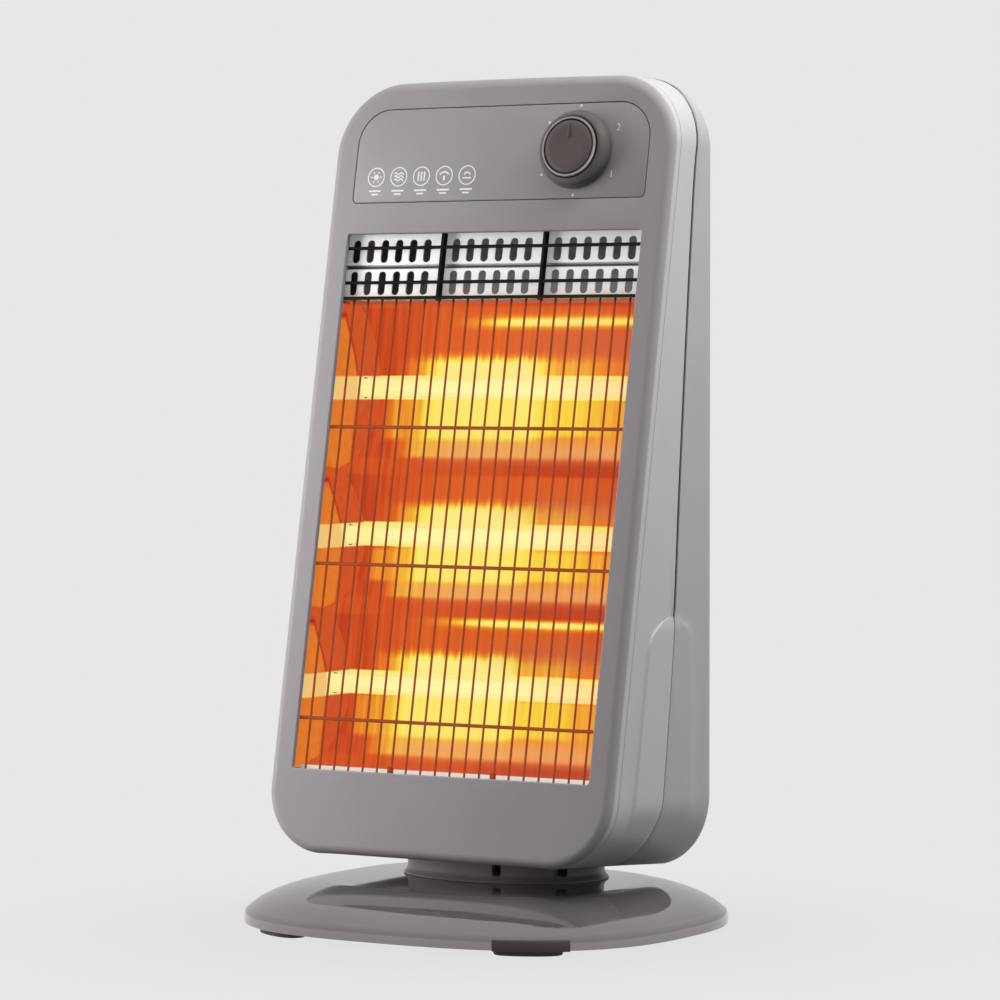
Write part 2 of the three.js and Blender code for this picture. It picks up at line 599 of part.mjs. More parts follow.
const crankLow = BODY_BASE - 1.5;
const crank = join([
  turnedUp(rod(17.5, crankLow, crankLow + 2.9), CRANK_X, SWIVEL_Y, 28),
  turnedUp(rod(3.4, crankLow + 2, MOTOR_LOW + 6), CRANK_X, SWIVEL_Y, 16),
  turnedUp(rod(PIN, HUMP_TOP + 4, crankLow + 1), CRANK_X + CRANK_THROW, SWIVEL_Y, 12),
]);
place(head, "crank", crank, "brass");

function terminalBlock() {
  const body = block(-58, -22, SWIVEL_Y - 9, SWIVEL_Y + 9, MOTOR_LOW, MOTOR_LOW + 14);
  const wells = [-52, -44, -36, -28].flatMap((x) =>
    [-5, 5].map((y) => turnedUp(rod(2.4, MOTOR_LOW + 6, MOTOR_LOW + 20), x, SWIVEL_Y + y, 6)),
  );
  return cut(body, wells);
}
place(head, "terminal_block", terminalBlock(), "plastic");

// ---------------------------------------------------------------- base
// A ring on the base: halves along X and Y, height, centre's Y and the squareness of the outline.
function baseRing(halfX, halfY, z, middle = 0, bulge = BASE.bulge, sides = 48) {
  const ring = [];
  for (let i = 0; i < sides; i++) {
    const angle = ((i + 0.5) / sides) * 2 * Math.PI;
    const [c, s] = [Math.cos(angle), Math.sin(angle)];
    const spread = (value, half) => half * Math.sign(value) * Math.abs(value) ** (2 / bulge);
    ring.push(new THREE.Vector3(spread(c, halfX), middle + spread(s, halfY), z));
  }
  return ring;
}

// The cover's outside moved in by a wall: the dome, its rim and the skirt, top down.
function baseForm(wall, foot) {
  const sides = wall ? 32 : 48;
  const ring = (share, z) =>
    baseRing(BASE.halfX * share - wall, BASE.halfY * share - wall, z, 0, BASE.bulge, sides);
  const dome = DOME.map(([share, z]) => ring(share, z - wall));
  return loft([...dome, ring(1, BASE.rim - wall / 2), ring(1, foot)]);
}

function baseCover() {
  const shell = baseForm(0, BASE.skirt).subtract(baseForm(WALL, BASE.skirt - 5));
  return shell.subtract(turnedUp(rod(5, 20, 40), 0, SWIVEL_Y, 16));
}
place(heater, "base_cover", baseCover(), "rim");

const PLATE_LOW = BASE.skirt + 0.6;
const plateRing = (z) => baseRing(BASE.halfX - WALL - 0.5, BASE.halfY - WALL - 0.5, z, 0, BASE.bulge, 32);
const bottomPlate = loft([plateRing(PLATE_LOW + 1.6), plateRing(PLATE_LOW)]);
place(heater, "base_plate", bottomPlate.subtract(turnedUp(rod(5.2, 0, 10), 0, TIP_Y, 20)), "steel");

const CORNERS = { front_left: [-1, -1], front_right: [1, -1], rear_left: [-1, 1], rear_right: [1, 1] };
for (const [name, [sx, sy]] of Object.entries(CORNERS)) {
  const pad = (shrink, z) => {
    const turn = -sx * sy * FOOT.turn;
    return baseRing(FOOT.halfX - shrink, FOOT.halfY - shrink, z, 0, 2.4, 18).map((p) =>
      p.applyAxisAngle(Z, turn).add(new THREE.Vector3(sx * FOOT.x, sy * FOOT.y, 0)),
    );
  };
  place(heater, "foot_" + name, loft([pad(0, PLATE_LOW - FIT), pad(0, 1), pad(1, 0)]), "rubber");
}

// The tip-over switch: a spring pushes its plunger down once the base leaves the floor.
const TIP_TRAVEL = 5;
const TIP_LOW = PLATE_LOW + 1.6 + FIT;
function tipSwitch() {
  const body = block(-11, 11, TIP_Y - 9, TIP_Y + 9, TIP_LOW, 21);
  const bores = [[5.2, TIP_LOW - 1, 12], [3.5, 10, 15], [5.2, 13, 25]];
  return cut(body, bores.map(([r, low, high]) => turnedUp(rod(r, low, high), 0, TIP_Y, 12)));
}
place(heater, "tip_switch", tipSwitch(), "plastic");
const stop = 13 + TIP_TRAVEL + 0.2;
const plungerProfile = [
  [0, 0], [4, 0], [4.8, 0.8], [4.8, 6], [3, 6], [3, stop], [4.6, stop], [4.6, stop + 1.6], [0, stop + 1.6],
];
place(heater, "tip_plunger", turnedUp(plungerProfile, 0, TIP_Y, 12), "dark");
place(heater, "tip_spring", turnedUp(tube(4.7, 3.4, 6 + FIT, 12 - FIT), 0, TIP_Y, 12), "steel");

// ---------------------------------------------------------------- neck and swivel
// An oval skirt round the swivel, slit so that the swivel's grease and wires can be reached.
function neckCollar() {
  const top = BODY_BASE - 0.4;
  const oval = (shrink, z) => baseRing(NECK.halfX - shrink, NECK.halfY - shrink, z, SWIVEL_Y, 2.2, 28);
  const outside = loft([
    oval(0.8, top), oval(0, top - 1), oval(0, HUMP_TOP + 5),
    oval(-1.5, HUMP_TOP + 2), oval(-2.5, HUMP_TOP + FIT),
  ]);
  const inside = loft([oval(3, top + 1), oval(3, HUMP_TOP - 1)]);
  const slits = [-3, 38].map((x) => block(x - 3, x + 3, -60, 100, HUMP_TOP + 4, top - 3));
  return cut(outside, [inside, ...slits]);
}
place(heater, "neck_collar", neckCollar(), "neck");

// A hollow spindle on the pedestal carries the head on a bearing ring; a clip holds it down.
const SEAT = FLOOR - FIT - 1.6;
const SPINDLE_TOP = 60;
const GROOVE = FLOOR + 2 + FIT;
const spindleProfile = [
  [5, HUMP_TOP + FIT], [16, HUMP_TOP + FIT], [16, HUMP_TOP + 4], [10.5, HUMP_TOP + 5],
  [10.5, SEAT - FIT], [8, SEAT - FIT], [8, GROOVE], [7, GROOVE], [7, GROOVE + 2], [8, GROOVE + 2],
  [8, SPINDLE_TOP - 1], [7.4, SPINDLE_TOP], [5, SPINDLE_TOP], [5, HUMP_TOP + FIT],
];
place(heater, "swivel_spindle", turnedUp(spindleProfile, 0, SWIVEL_Y, 12), "steel");
const bearing = turnedUp(tube(12, 8 + FIT, SEAT, SEAT + 1.6), 0, SWIVEL_Y, 12);
const clip = turnedUp(tube(12.5, 7 + FIT, GROOVE + FIT, GROOVE + 1.6), 0, SWIVEL_Y, 12);
place(heater, "bearing_ring", bearing, "plastic");
place(heater, "spindle_clip", clip, "steel");

// The crank's pin runs in this fixed slot, so that each turn of the motor swings the head once.
function crankYoke() {
  const yoke = block(22, 54, SWIVEL_Y - 9, SWIVEL_Y + 9, HUMP_TOP + FIT, crankLow - 2.5);
  const [near, far] = [CRANK_X - 2.5, CRANK_X + CRANK_THROW + PIN + 1];
  return yoke.subtract(block(near, far, SWIVEL_Y - PIN_SLOT, SWIVEL_Y + PIN_SLOT, HUMP_TOP + 2.5, crankLow));
}
place(heater, "crank_yoke", crankYoke(), "plastic");

export default heater;
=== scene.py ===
"""Halogen heater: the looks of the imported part. Lengths are in millimetres until a mesh is finished,
heights s run up the slope of the front face, and depths run from that face into the head."""

from math import asin, cos, pi, radians, sin, sqrt, tan

import bmesh
import bpy
from mathutils import Matrix, Vector


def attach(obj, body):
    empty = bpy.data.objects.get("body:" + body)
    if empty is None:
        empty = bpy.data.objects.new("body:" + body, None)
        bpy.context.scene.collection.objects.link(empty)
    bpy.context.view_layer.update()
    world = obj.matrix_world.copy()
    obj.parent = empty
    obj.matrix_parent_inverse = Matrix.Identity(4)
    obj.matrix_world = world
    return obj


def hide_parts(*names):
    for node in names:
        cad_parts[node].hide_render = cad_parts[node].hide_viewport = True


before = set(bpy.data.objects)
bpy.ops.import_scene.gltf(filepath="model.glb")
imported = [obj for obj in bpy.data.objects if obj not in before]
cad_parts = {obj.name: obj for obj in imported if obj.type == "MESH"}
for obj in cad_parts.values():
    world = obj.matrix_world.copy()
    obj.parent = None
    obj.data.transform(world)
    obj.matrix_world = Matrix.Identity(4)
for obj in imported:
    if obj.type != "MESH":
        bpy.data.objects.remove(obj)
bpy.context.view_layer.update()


# ---------------------------------------------------------------- studio
# The camera stands to the heater's front right, level with its middle. The background is a plain pale
# grey, and broad soft lamps light the face from the left and the side from the right.
def linear(red, green, blue):
    """An sRGB colour out of 255 in the linear values that Blender works in."""
    return tuple(((c / 255 + 0.055) / 1.055) ** 2.4 for c in (red, green, blue)) + (1.0,)


class Value:
    """A socket of a node tree. Sums and products of Values are written as those of numbers."""

    def __init__(self, socket):
        self.socket = socket

    def node(self, kind, inputs, output=0, **settings):
        """An output of a new node in this tree, with inputs by name or place and its settings."""
        tree = self.socket.id_data
        made = tree.nodes.new(kind)
        for name, value in settings.items():
            setattr(made, name, value)
        for key, value in inputs.items():
            if isinstance(value, Value):
                tree.links.new(value.socket, made.inputs[key])
            else:
                made.inputs[key].default_value = value
        return Value(made.outputs[output])

    def math(self, operation, *numbers):
        return self.node("ShaderNodeMath", dict(enumerate(numbers)), operation=operation)

    def __add__(self, other):
        return self.math("ADD", self, other)

    def __radd__(self, other):
        return self.math("ADD", other, self)

    def __sub__(self, other):
        return self.math("SUBTRACT", self, other)

    def __rsub__(self, other):
        return self.math("SUBTRACT", other, self)

    def __mul__(self, other):
        return self.math("MULTIPLY", self, other)

    def __rmul__(self, other):
        return self.math("MULTIPLY", other, self)

    def __truediv__(self, other):
        return self.math("DIVIDE", self, other)

    def smooth(self, start, end):
        """Rises smoothly from 0 at start to 1 at end, also where end is the lower."""
        limits = {"Value": self, "From Min": start, "From Max": end}
        return self.node("ShaderNodeMapRange", limits, interpolation_type="SMOOTHSTEP")

    def bell(self, middle, width):
        """1 at middle, falling off to either side over about that width."""
        away = (self - middle) / width
        return self.math("EXPONENT", away * away * -1)

    def ramp(self, *stops):
        """Runs smoothly through (place, colour) stops."""
        made = self.node("ShaderNodeValToRGB", {"Fac": self})
        ramp = made.socket.node.color_ramp
        ramp.interpolation = "CARDINAL"
        for place, colour in stops[1:-1]:
            ramp.elements.new(place)
        for element, (place, colour) in zip(ramp.elements, stops):
            element.position = place
            element.color = colour
        return made

    def mix(self, low, high):
        """The colour low where this is 0 and high where it is 1."""
        return self.node("ShaderNodeMix", {0: self, 6: low, 7: high}, 2, data_type="RGBA")


PALE = linear(231, 231, 231)
ROOM_LOW = 0.02  # how brightly the room lights the object from below and from above
ROOM_HIGH = 0.34
CAMERA_PLACE = (1.44635, -2.34336, 0.35565)  # metres
CAMERA_TURN = (radians(88.2), 0, radians(31.5))
CAMERA_LENS = 158

camera = bpy.data.objects.new("camera", bpy.data.cameras.new("camera"))
camera.location = CAMERA_PLACE
camera.rotation_euler = CAMERA_TURN
camera.data.sensor_width = 36
camera.data.lens = CAMERA_LENS
bpy.context.scene.camera = camera
bpy.context.scene.view_settings.view_transform = "Standard"

world = bpy.data.worlds.new("room")
world.use_nodes = True
bpy.context.scene.world = world
room = world.node_tree.nodes["Background"]
ray = Value(world.node_tree.nodes.new("ShaderNodeLightPath").outputs["Is Camera Ray"])
glossy = Value(ray.socket.node.outputs["Is Glossy Ray"])
clear = Value(ray.socket.node.outputs["Is Transmission Ray"])
seen = ray.math("MAXIMUM", ray, clear)
way = Value(world.node_tree.nodes.new("ShaderNodeTexCoord").outputs["Generated"])
rise = way.node("ShaderNodeSeparateXYZ", {0: way}, "Z").smooth(-0.9, 0.9)
light_of_room = rise.mix((ROOM_LOW,) * 3 + (1,), (ROOM_HIGH,) * 3 + (1,))
shade = glossy.mix(light_of_room, linear(200, 199, 201))
world.node_tree.links.new(seen.mix(shade, PALE).socket, room.inputs["Color"])
room.inputs["Strength"].default_value = 1

LAMPS_OF_THE_STUDIO = {  # place and aim in metres, width and height in metres, power in watts
    "left": ((-0.56, -0.31, 0.27), (0, 0, 0.27), (0.25, 0.9), 7.3),
    "right": ((0.75, 0.12, 1.25), (0.1, 0, 0.3), (0.5, 0.5), 18),
    "top": ((0.1, -0.2, 1.6), (0, 0, 0.2), (1.1, 1.1), 5),
}
staged = [camera]
for name, (place, aim, size, power) in LAMPS_OF_THE_STUDIO.items():
    lamp = bpy.data.objects.new("studio_" + name, bpy.data.lights.new("studio_" + name, "AREA"))
    lamp.location = place
    lamp.rotation_euler = (Vector(aim) - Vector(place)).to_track_quat("-Z", "Y").to_euler()
    lamp.data.shape = "RECTANGLE"
    lamp.data.size, lamp.data.size_y = size
    lamp.data.energy = power
    lamp.visible_glossy = False
    staged.append(lamp)

FLOOR_HALF = 6.0  # metres
FLOOR_DROP = -0.0002
floor_mesh = bpy.data.meshes.new("studio_floor")
corners = [(x * FLOOR_HALF, y * FLOOR_HALF, FLOOR_DROP) for x, y in ((-1, -1), (1, -1), (1, 1), (-1, 1))]
floor_mesh.from_pydata(corners, [], [(0, 1, 2, 3)])
floor_look = bpy.data.materials.new("studio_floor")
floor_look.use_nodes = True
tree = floor_look.node_tree
tree.nodes.remove(tree.nodes["Principled BSDF"])
spot = Value(tree.nodes.new("ShaderNodeTexCoord").outputs["Object"])
distance = spot.node("ShaderNodeVectorMath", {0: spot}, "Value", operation="LENGTH")
watched = Value(tree.nodes.new("ShaderNodeLightPath").outputs["Is Camera Ray"])
watched = watched.math("MAXIMUM", watched, Value(watched.socket.node.outputs["Is Glossy Ray"]))
paint = spot.node("ShaderNodeBsdfDiffuse", {"Color": linear(66, 66, 66)})
glow = spot.node("ShaderNodeEmission", {"Color": PALE})
share = (distance.smooth(0.08, 0.35) * 0.08 + 0.92) * watched
look = share.node("ShaderNodeMixShader", {0: share, 1: paint, 2: glow})
tree.links.new(look.socket, tree.nodes["Material Output"].inputs["Surface"])
floor_mesh.materials.append(floor_look)
staged.append(bpy.data.objects.new("studio_floor", floor_mesh))
for item in staged:
    bpy.context.collection.objects.link(item)


# ---------------------------------------------------------------- front frame
# A moulded frame round the sloping face: rolled outside edges, the lamp window with rounded edges and a
# recess for the control panel. Its satin grey paint has fine flakes, faint clouds and light scuffs.
METRES = Matrix.Scale(0.001, 4)
TILT = radians(10.83)  # lean of the front face
FACE = Matrix.Translation((0, -67.5, 48)) @ Matrix.Rotation(-TILT, 4, "X")
BODY_HALF = 125
FACE_LENGTH = 494
CORNER = 46
CORNER_LOW = 42
CROWN = 1.5  # bulge of the top edge
SAG_SLOPE = 0.075  # both flanks run lower towards the back, up to SAG_REACH over the bottom
SAG_REACH = 80
WALL = 2.5
FRONT_ROLL = 6
BEZEL_DEPTH = 10
WINDOW = (-108, 108, 53, 396.6)
PANEL = (-107, 107.5, 417, 477.5)
PANEL_THICK = 2.2
KNOB_X = 56.5
KNOB_S = 447.5
FIT = 0.3


def height_at(s):
    return 48 + s * cos(TILT)


def front_at(z):
    return -67.5 + (z - 48) * tan(TILT)


def smooth(value, start, end):
    t = min(max((value - start) / (end - start), 0), 1)
    return t * t * (3 - 2 * t)


def outline(inset):
    """The head seen square to its face, moved in by inset: (x, s) pairs, anticlockwise."""
    corners = [(1, 0, CORNER_LOW), (1, FACE_LENGTH, CORNER), (-1, FACE_LENGTH, CORNER), (-1, 0, CORNER_LOW)]
    arcs = []
    for turn, (side, level, radius) in enumerate(corners):
        middle = Vector((side * (BODY_HALF - radius), abs(level - radius)))
        angles = [(turn - 1 + step / 24) * pi / 2 for step in range(25)]
        arcs.append([middle + (radius - inset) * Vector((cos(angle), sin(angle))) for angle in angles])
    points = []
    for turn, arc in enumerate(arcs):
        points += arc
        steps = 134 if turn % 2 == 0 else 40
        points += [arc[-1].lerp(arcs[(turn + 1) % 4][0], step / steps) for step in range(1, steps)]
    return [(x, s + CROWN * (s / FACE_LENGTH) * (1 - (x / BODY_HALF) ** 2)) for x, s in points]


OUTLINE = [Vector(point) for point in outline(0)]
INWARD = [Vector(inner) - outer for inner, outer in zip(outline(1), OUTLINE)]


def sag(x, s, y):
    """How much lower the outline hangs at depth y: nothing on the face, nor over the neck."""
    return SAG_SLOPE * (y - front_at(height_at(s))) * (1 - smooth(s, 0, SAG_REACH)) * smooth(abs(x), 70, 95)


def ring(inset, depth_at):
    """The outline at an inset, each point at the depth y that its height z gives."""
    inset_at = inset if callable(inset) else lambda y, z: inset
    points = []
    for outer, inward in zip(OUTLINE, INWARD):
        y = depth_at(height_at(outer.y))
        x, s = outer + inset_at(y, height_at(outer.y)) * inward
        y = depth_at(height_at(s))
        points.append(Vector((x, y, height_at(s) - sag(x, s, y))))
    return points


def skin(rings, wrap=False):
    """Rings of points joined into one closed surface, capped at both ends or wrapped to the first."""
    shape = bmesh.new()
    rows = [[shape.verts.new(point) for point in points] for points in rings]
    count = len(rows[0])
    for near, far in zip(rows, rows[1:] + rows[:1] if wrap else rows[1:]):
        for i in range(count):
            j = (i + 1) % count
            shape.faces.new((near[i], near[j], far[j], far[i]))
    if not wrap:
        shape.faces.new(rows[0][::-1])
        shape.faces.new(rows[-1])
    bmesh.ops.recalc_face_normals(shape, faces=shape.faces)
    return shape


def mesh_of(name, shape, matrix=Matrix()):
    shape.transform(matrix)
    mesh = bpy.data.meshes.new(name)
    shape.to_mesh(mesh)
    shape.free()
    return mesh


def carve(body, tools, operation="DIFFERENCE"):
    """The body with the tools cut away from it, or joined to it."""
    held = [bpy.data.objects.new("carving", mesh_of("carving", shape)) for shape in (body, *tools)]
    for one in held:
        bpy.context.collection.objects.link(one)
    for tool in held[1:]:
        step = held[0].modifiers.new("step", "BOOLEAN")
        step.object = tool
        step.operation = operation
        step.solver = "MANIFOLD"
    graph = bpy.context.evaluated_depsgraph_get()
    mesh = bpy.data.meshes.new_from_object(held[0].evaluated_get(graph))
    shape = bmesh.new()
    shape.from_mesh(mesh)
    for one in held:
        bpy.data.objects.remove(one)
    return shape


def rounded(box, low, top=None, grow=0.0, steps=8):
    """A rectangle (left, right, low, high) with round corners, grown: (x, s) pairs, anticlockwise."""
    left, right, bottom, ceiling = box
    top = low if top is None else top
    corners = [(right, bottom, -1, 1, low), (right, ceiling, -1, -1, top)]
    corners += [(left, ceiling, 1, -1, top), (left, bottom, 1, 1, low)]
    points = []
    for turn, (x, s, to_x, to_s, radius) in enumerate(corners):
        for step in range(steps + 1):
            angle = (turn - 1 + step / steps) * pi / 2
            reach = radius + grow
            points.append((x + to_x * radius + reach * cos(angle), s + to_s * radius + reach * sin(angle)))
    return points


def cutter(box, radii, edge, back, front=-3.0, grow=0.0):
    """A rounded opening through the face that leaves a rolled edge of that radius round it."""
    section = [(edge, front), *((edge * (1 - sin(a)), edge * (1 - cos(a))) for a in quarter(4)), (0, back)]
    shape = skin([[(x, d, s) for x, s in rounded(box, *radii, grow + g)] for g, d in section])
    shape.transform(FACE)
    return shape


def quarter(steps):
    """Angles from 0 to 90 degrees."""
    return [pi / 2 * step / steps for step in range(steps + 1)]


def turned(profile, sides=96, wrap=False, along=Matrix()):
    """(radius, height) points turned about the z axis."""
    around = [2 * pi * (i + 0.5) / sides for i in range(sides)]
    shape = skin([[Vector((r * cos(a), r * sin(a), h)) for a in around] for r, h in profile], wrap)
    shape.transform(along)
    return shape


def rod(radius, start, end, along, sides=48):
    """A round rod, or the cutter for a round hole."""
    return turned([(radius, start), (radius, end)], sides, along=along)


def out_of_face(x, s, depth=0.0):
    """Turns what stands along z to stand out of the face at x and s."""
    return FACE @ Matrix.Translation((x, depth, s)) @ Matrix.Rotation(pi / 2, 4, "X")


class Finish:
    """A node material. Fixed traits of its shader are given by name; textures and links are added."""

    def __init__(self, name, **traits):
        self.material = bpy.data.materials.new(name)
        self.material.use_nodes = True
        self.tree = self.material.node_tree
        self.shader = self.tree.nodes["Principled BSDF"]
        for trait, value in traits.items():
            self.shader.inputs[trait.replace("_", " ")].default_value = value
        self.place = Value(self.tree.nodes.new("ShaderNodeTexCoord").outputs["Object"])
        apart = self.tree.nodes.new("ShaderNodeSeparateXYZ")
        self.tree.links.new(self.place.socket, apart.inputs[0])
        self.x, self.y, self.z = [Value(socket) * 1000 for socket in apart.outputs]

    def noise(self, size, detail=2.0, stretch=(1, 1, 1)):
        """Noise from 0 to 1 with features of about that size in millimetres."""
        scale = tuple(1000 / (size * reach) for reach in stretch)
        spread = self.place.node("ShaderNodeVectorMath", {0: self.place, 1: scale}, operation="MULTIPLY")
        return spread.node("ShaderNodeTexNoise", {"Vector": spread, "Scale": 1.0, "Detail": detail})

    def link(self, **values):
        for trait, value in values.items():
            self.tree.links.new(value.socket, self.shader.inputs[trait.replace("_", " ")])

    def bump(self, height, strength, distance):
        """Height from 0 to 1 stands for a relief of that distance in millimetres."""
        inputs = {"Height": height, "Strength": strength, "Distance": distance / 1000}
        self.link(Normal=self.place.node("ShaderNodeBump", inputs))


def up_the_face(finish):
    """The finish's place as (depth, s) of the sloping face, in millimetres."""
    y, z = finish.y + 67.5, finish.z - 48
    return y * cos(TILT) - z * sin(TILT), y * sin(TILT) + z * cos(TILT)


def moulded(name, colour, roughness, grain=0.35, flake=0.05, clouds=0.06, sides=None, **traits):
    """Moulded plastic or paint: fine grain, flakes, faint clouds and scuffs. Where sides is given, it is
    the colour of what lies behind the rolled edge of the face."""
    finish = Finish(name, **traits)

    def shade_of(tone, share):
        return tuple(min(part * (1 + share * (clouds + flake)), 1) for part in linear(*tone)[:3]) + (1.0,)

    cloud = finish.noise(45, 3)
    fleck = finish.noise(0.5, 1)
    scuff = finish.noise(9, 5, (1, 1, 0.35)).smooth(0.62, 0.8)
    blend = (cloud * clouds + fleck * flake + scuff * (clouds * 0.4)) / (clouds + flake)
    tint = blend.mix(shade_of(colour, -1), shade_of(colour, 1))
    if sides:
        behind = up_the_face(finish)[0].smooth(3.5, 5.5)
        tint = behind.mix(tint, blend.mix(shade_of(sides, -1), shade_of(sides, 1)))
    finish.link(Base_Color=tint)
    finish.link(Roughness=cloud * 0.12 + scuff * 0.1 + (roughness - 0.06))
    finish.bump(finish.noise(0.9, 3) + fleck * 0.4, grain, 0.05)
    return finish.material


def fitted(name, shape, material, body, slot, *nodes, angle=35):
    """A finished piece: smooth but for edges past the angle, riding a body and standing for nodes."""
    mesh = mesh_of(name, shape, METRES)
    mesh.materials.clear()
    mesh.materials.append(material)
    mesh.polygons.foreach_set("material_index", [0] * len(mesh.polygons))
    mesh.shade_smooth()
    mesh.set_sharp_from_angle(angle=radians(angle))
    piece = bpy.data.objects.new(name, mesh)
    bpy.context.collection.objects.link(piece)
    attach(piece, body)
    if nodes:
        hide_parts(*nodes)
    return piece


EDGE = [(0.5, 0.0), (0.15, 0.15), (0.0, 0.5)]  # inset and distance round an edge of a shell


def sloped(depth):
    """The depth y of a line that runs parallel to the face."""
    return lambda z: front_at(z) + depth


inner_roll = FRONT_ROLL - WALL
bezel_rings = [ring(FRONT_ROLL + 1, sloped(WALL))]
for a in quarter(4):
    bezel_rings.append(ring(WALL + inner_roll * (1 - sin(a)), sloped(WALL + inner_roll * (1 - cos(a)))))
bezel_rings += [ring(WALL, sloped(BEZEL_DEPTH - 0.3)), ring(WALL - 0.3, sloped(BEZEL_DEPTH))]
bezel_rings += [ring(inset, sloped(BEZEL_DEPTH - away)) for inset, away in EDGE]
for a in reversed(quarter(12)):
    bezel_rings.append(ring(FRONT_ROLL * (1 - sin(a)), sloped(FRONT_ROLL * (1 - cos(a)))))
bezel_rings += [ring(FRONT_ROLL + 0.5, sloped(0))]
PANEL_CORNERS = (3, 23)  # the panel's radii, low and at the top
BACKING_GROW = 4  # the wall behind the panel's recess reaches past it
POST_PLACES = [(x, s) for x in (-117.3, 117.3) for s in (62, 348)]
POST_END = 57  # how far the four screw posts reach back
backing_corners = [radius + BACKING_GROW for radius in PANEL_CORNERS]
backing = cutter(PANEL, backing_corners, 0, PANEL_THICK + FIT + 2, WALL - 0.4, BACKING_GROW)
bezel = carve(skin(bezel_rings), [backing], "UNION")
into_head = Matrix.Scale(-1, 4, (0, 0, 1))
posts = [rod(2.6, WALL - 1, POST_END, out_of_face(x, s) @ into_head, 24) for x, s in POST_PLACES]
bezel = carve(bezel, posts, "UNION")
shaft_way = rod(6, -20, 20, out_of_face(KNOB_X, KNOB_S))
panel_recess = cutter(PANEL, PANEL_CORNERS, 0.35, PANEL_THICK + FIT, grow=0.5)
bezel = carve(bezel, [cutter(WINDOW, (1.5, 1.5), 0.9, 20), panel_recess, shaft_way])
SATIN = {"roughness": 0.45, "Metallic": 0.12, "Coat_Weight": 0.03}
SHELL_TONE = (182, 179, 183)
bezel_paint = moulded("bezel_paint", (150, 145, 147), sides=SHELL_TONE, **SATIN)
fitted("bezel", bezel, bezel_paint, "head", "bezel_plastic", "front_bezel")


# ---------------------------------------------------------------- front shell
# The front half of the casing, a band from the frame back to the curved side seam, with the front part of
# the low arched pad on each side. A lip inside each edge closes the gap to its neighbour.
def through(knots):
    """A smooth function through (place, value) knots."""
    places, values = zip(*knots)
    slopes = []
    for i in range(len(knots)):
        before, after = max(i - 1, 0), min(i + 1, len(knots) - 1)
        slopes.append((values[after] - values[before]) / (places[after] - places[before]))

    def value(place):
        i = max(k for k in range(len(knots) - 1) if k == 0 or places[k] <= place)
        run = places[i + 1] - places[i]
        t = (place - places[i]) / run
        return (
            values[i] * (1 + 2 * t) * (1 - t) ** 2
            + values[i + 1] * t * t * (3 - 2 * t)
            + run * t * (1 - t) * (slopes[i] * (1 - t) - slopes[i + 1] * t)
        )

    return value


SHELL_START = BEZEL_DEPTH + FIT
PAD = {"front": 28, "rear": 41.5, "crest": 15, "low": 72, "shoulder": 180, "top": 198, "raised": 1.4}
seam_at = through([(40, -8), (87, 2.3), (195, 17.1), (285, 24.6), (465, 42), (503, 49.5), (540, 62)])


def arch_turn(z):
    """How far the pad's edges have turned in over its shoulders, from 0 to 1."""
    t = min(max((z - PAD["shoulder"]) / (PAD["top"] - PAD["shoulder"]), 0), 1)
    return 1 - sqrt(1 - t * t)


def pad_front(z):
    return front_at(z) + PAD["front"] + (PAD["crest"] - front_at(z) - PAD["front"]) * arch_turn(z)


def pad_rear(z):
    return PAD["rear"] + (PAD["crest"] - PAD["rear"]) * arch_turn(z)


def padded(y, z):
    """The negative inset of the pad on the head's sides."""
    rise = smooth(y - pad_front(z), -0.7, 0.7) * smooth(pad_rear(z) - y, -0.7, 0.7)
    return -PAD["raised"] * rise * smooth(z, 70, 88) * (1 - smooth(z, 193, 199))


def shell_row(share, nudge=0.0):
    """A line over the front shell: share 0 is the front edge, 1 the pad's ridge and 2 the seam."""

    def depth_at(z):
        start, seam = front_at(z) + SHELL_START, seam_at(z)
        span = seam - start
        ridge = min(max(pad_front(z), start + 0.3 * span), start + 0.94 * span)
        if share <= 1:
            return start + (ridge - start) * share + nudge
        return ridge + (seam - ridge) * (share - 1) + nudge

    return depth_at


LIP = WALL + 0.4
LIP_BACK = WALL + 2
shell_rings = [ring(inset, shell_row(0, away)) for inset, away in EDGE]
shell_rings += [ring(padded, shell_row(share / 6)) for share in range(1, 6)]
shell_rings += [ring(padded, shell_row(1, nudge)) for nudge in (-1, -0.6, -0.2, 0.2, 0.6, 1)]
shell_rings += [ring(padded, shell_row(1 + share / 6)) for share in range(1, 6)]
for inset, away in reversed(EDGE):
    shell_rings.append(ring(lambda y, z, inset=inset: padded(y, z) + inset, shell_row(2, -away)))
shell_rings += [ring(WALL - 0.3, shell_row(2)), ring(WALL, shell_row(2, -0.3)), ring(WALL, shell_row(0, 6))]
shell_rings += [ring(LIP_BACK, shell_row(0, 4.7)), ring(LIP_BACK, shell_row(0, -4))]
shell_rings += [ring(LIP, shell_row(0, -4)), ring(LIP, shell_row(0))]
shell_paint = moulded("shell_paint", SHELL_TONE, **SATIN)
fitted("shell_front", skin(shell_rings, wrap=True), shell_paint, "head", "shell_plastic", "front_shell")


# ---------------------------------------------------------------- rear shell
# The rear half: a cup with a rolled back edge, two fields of louvres, a hand grip, a hole for the lead and
# recessed screws. Above the swivel it stands back from the seam and leaves a wide shadow gap.
BACK = 73
SWIVEL_Y = 24  # the head turns about a vertical axis here
REAR_ROLL = 12
ROLL_START = BACK - REAR_ROLL
GRIP = (-55, 55, 468, 500)
GRIP_DEPTH = 16
LEAD_X = -70
LEAD_Z = 84
LOUVRE_ROWS = [112 + 15 * row for row in range(7)] + [315 + 15 * row for row in range(7)]
SCREW_PLACES = [(x, z) for x in (-98, 98) for z in (88, 290, 470)]


def rear_edge(z):
    return seam_at(z) + 0.8 + 1.8 * smooth(z, 192, 202)


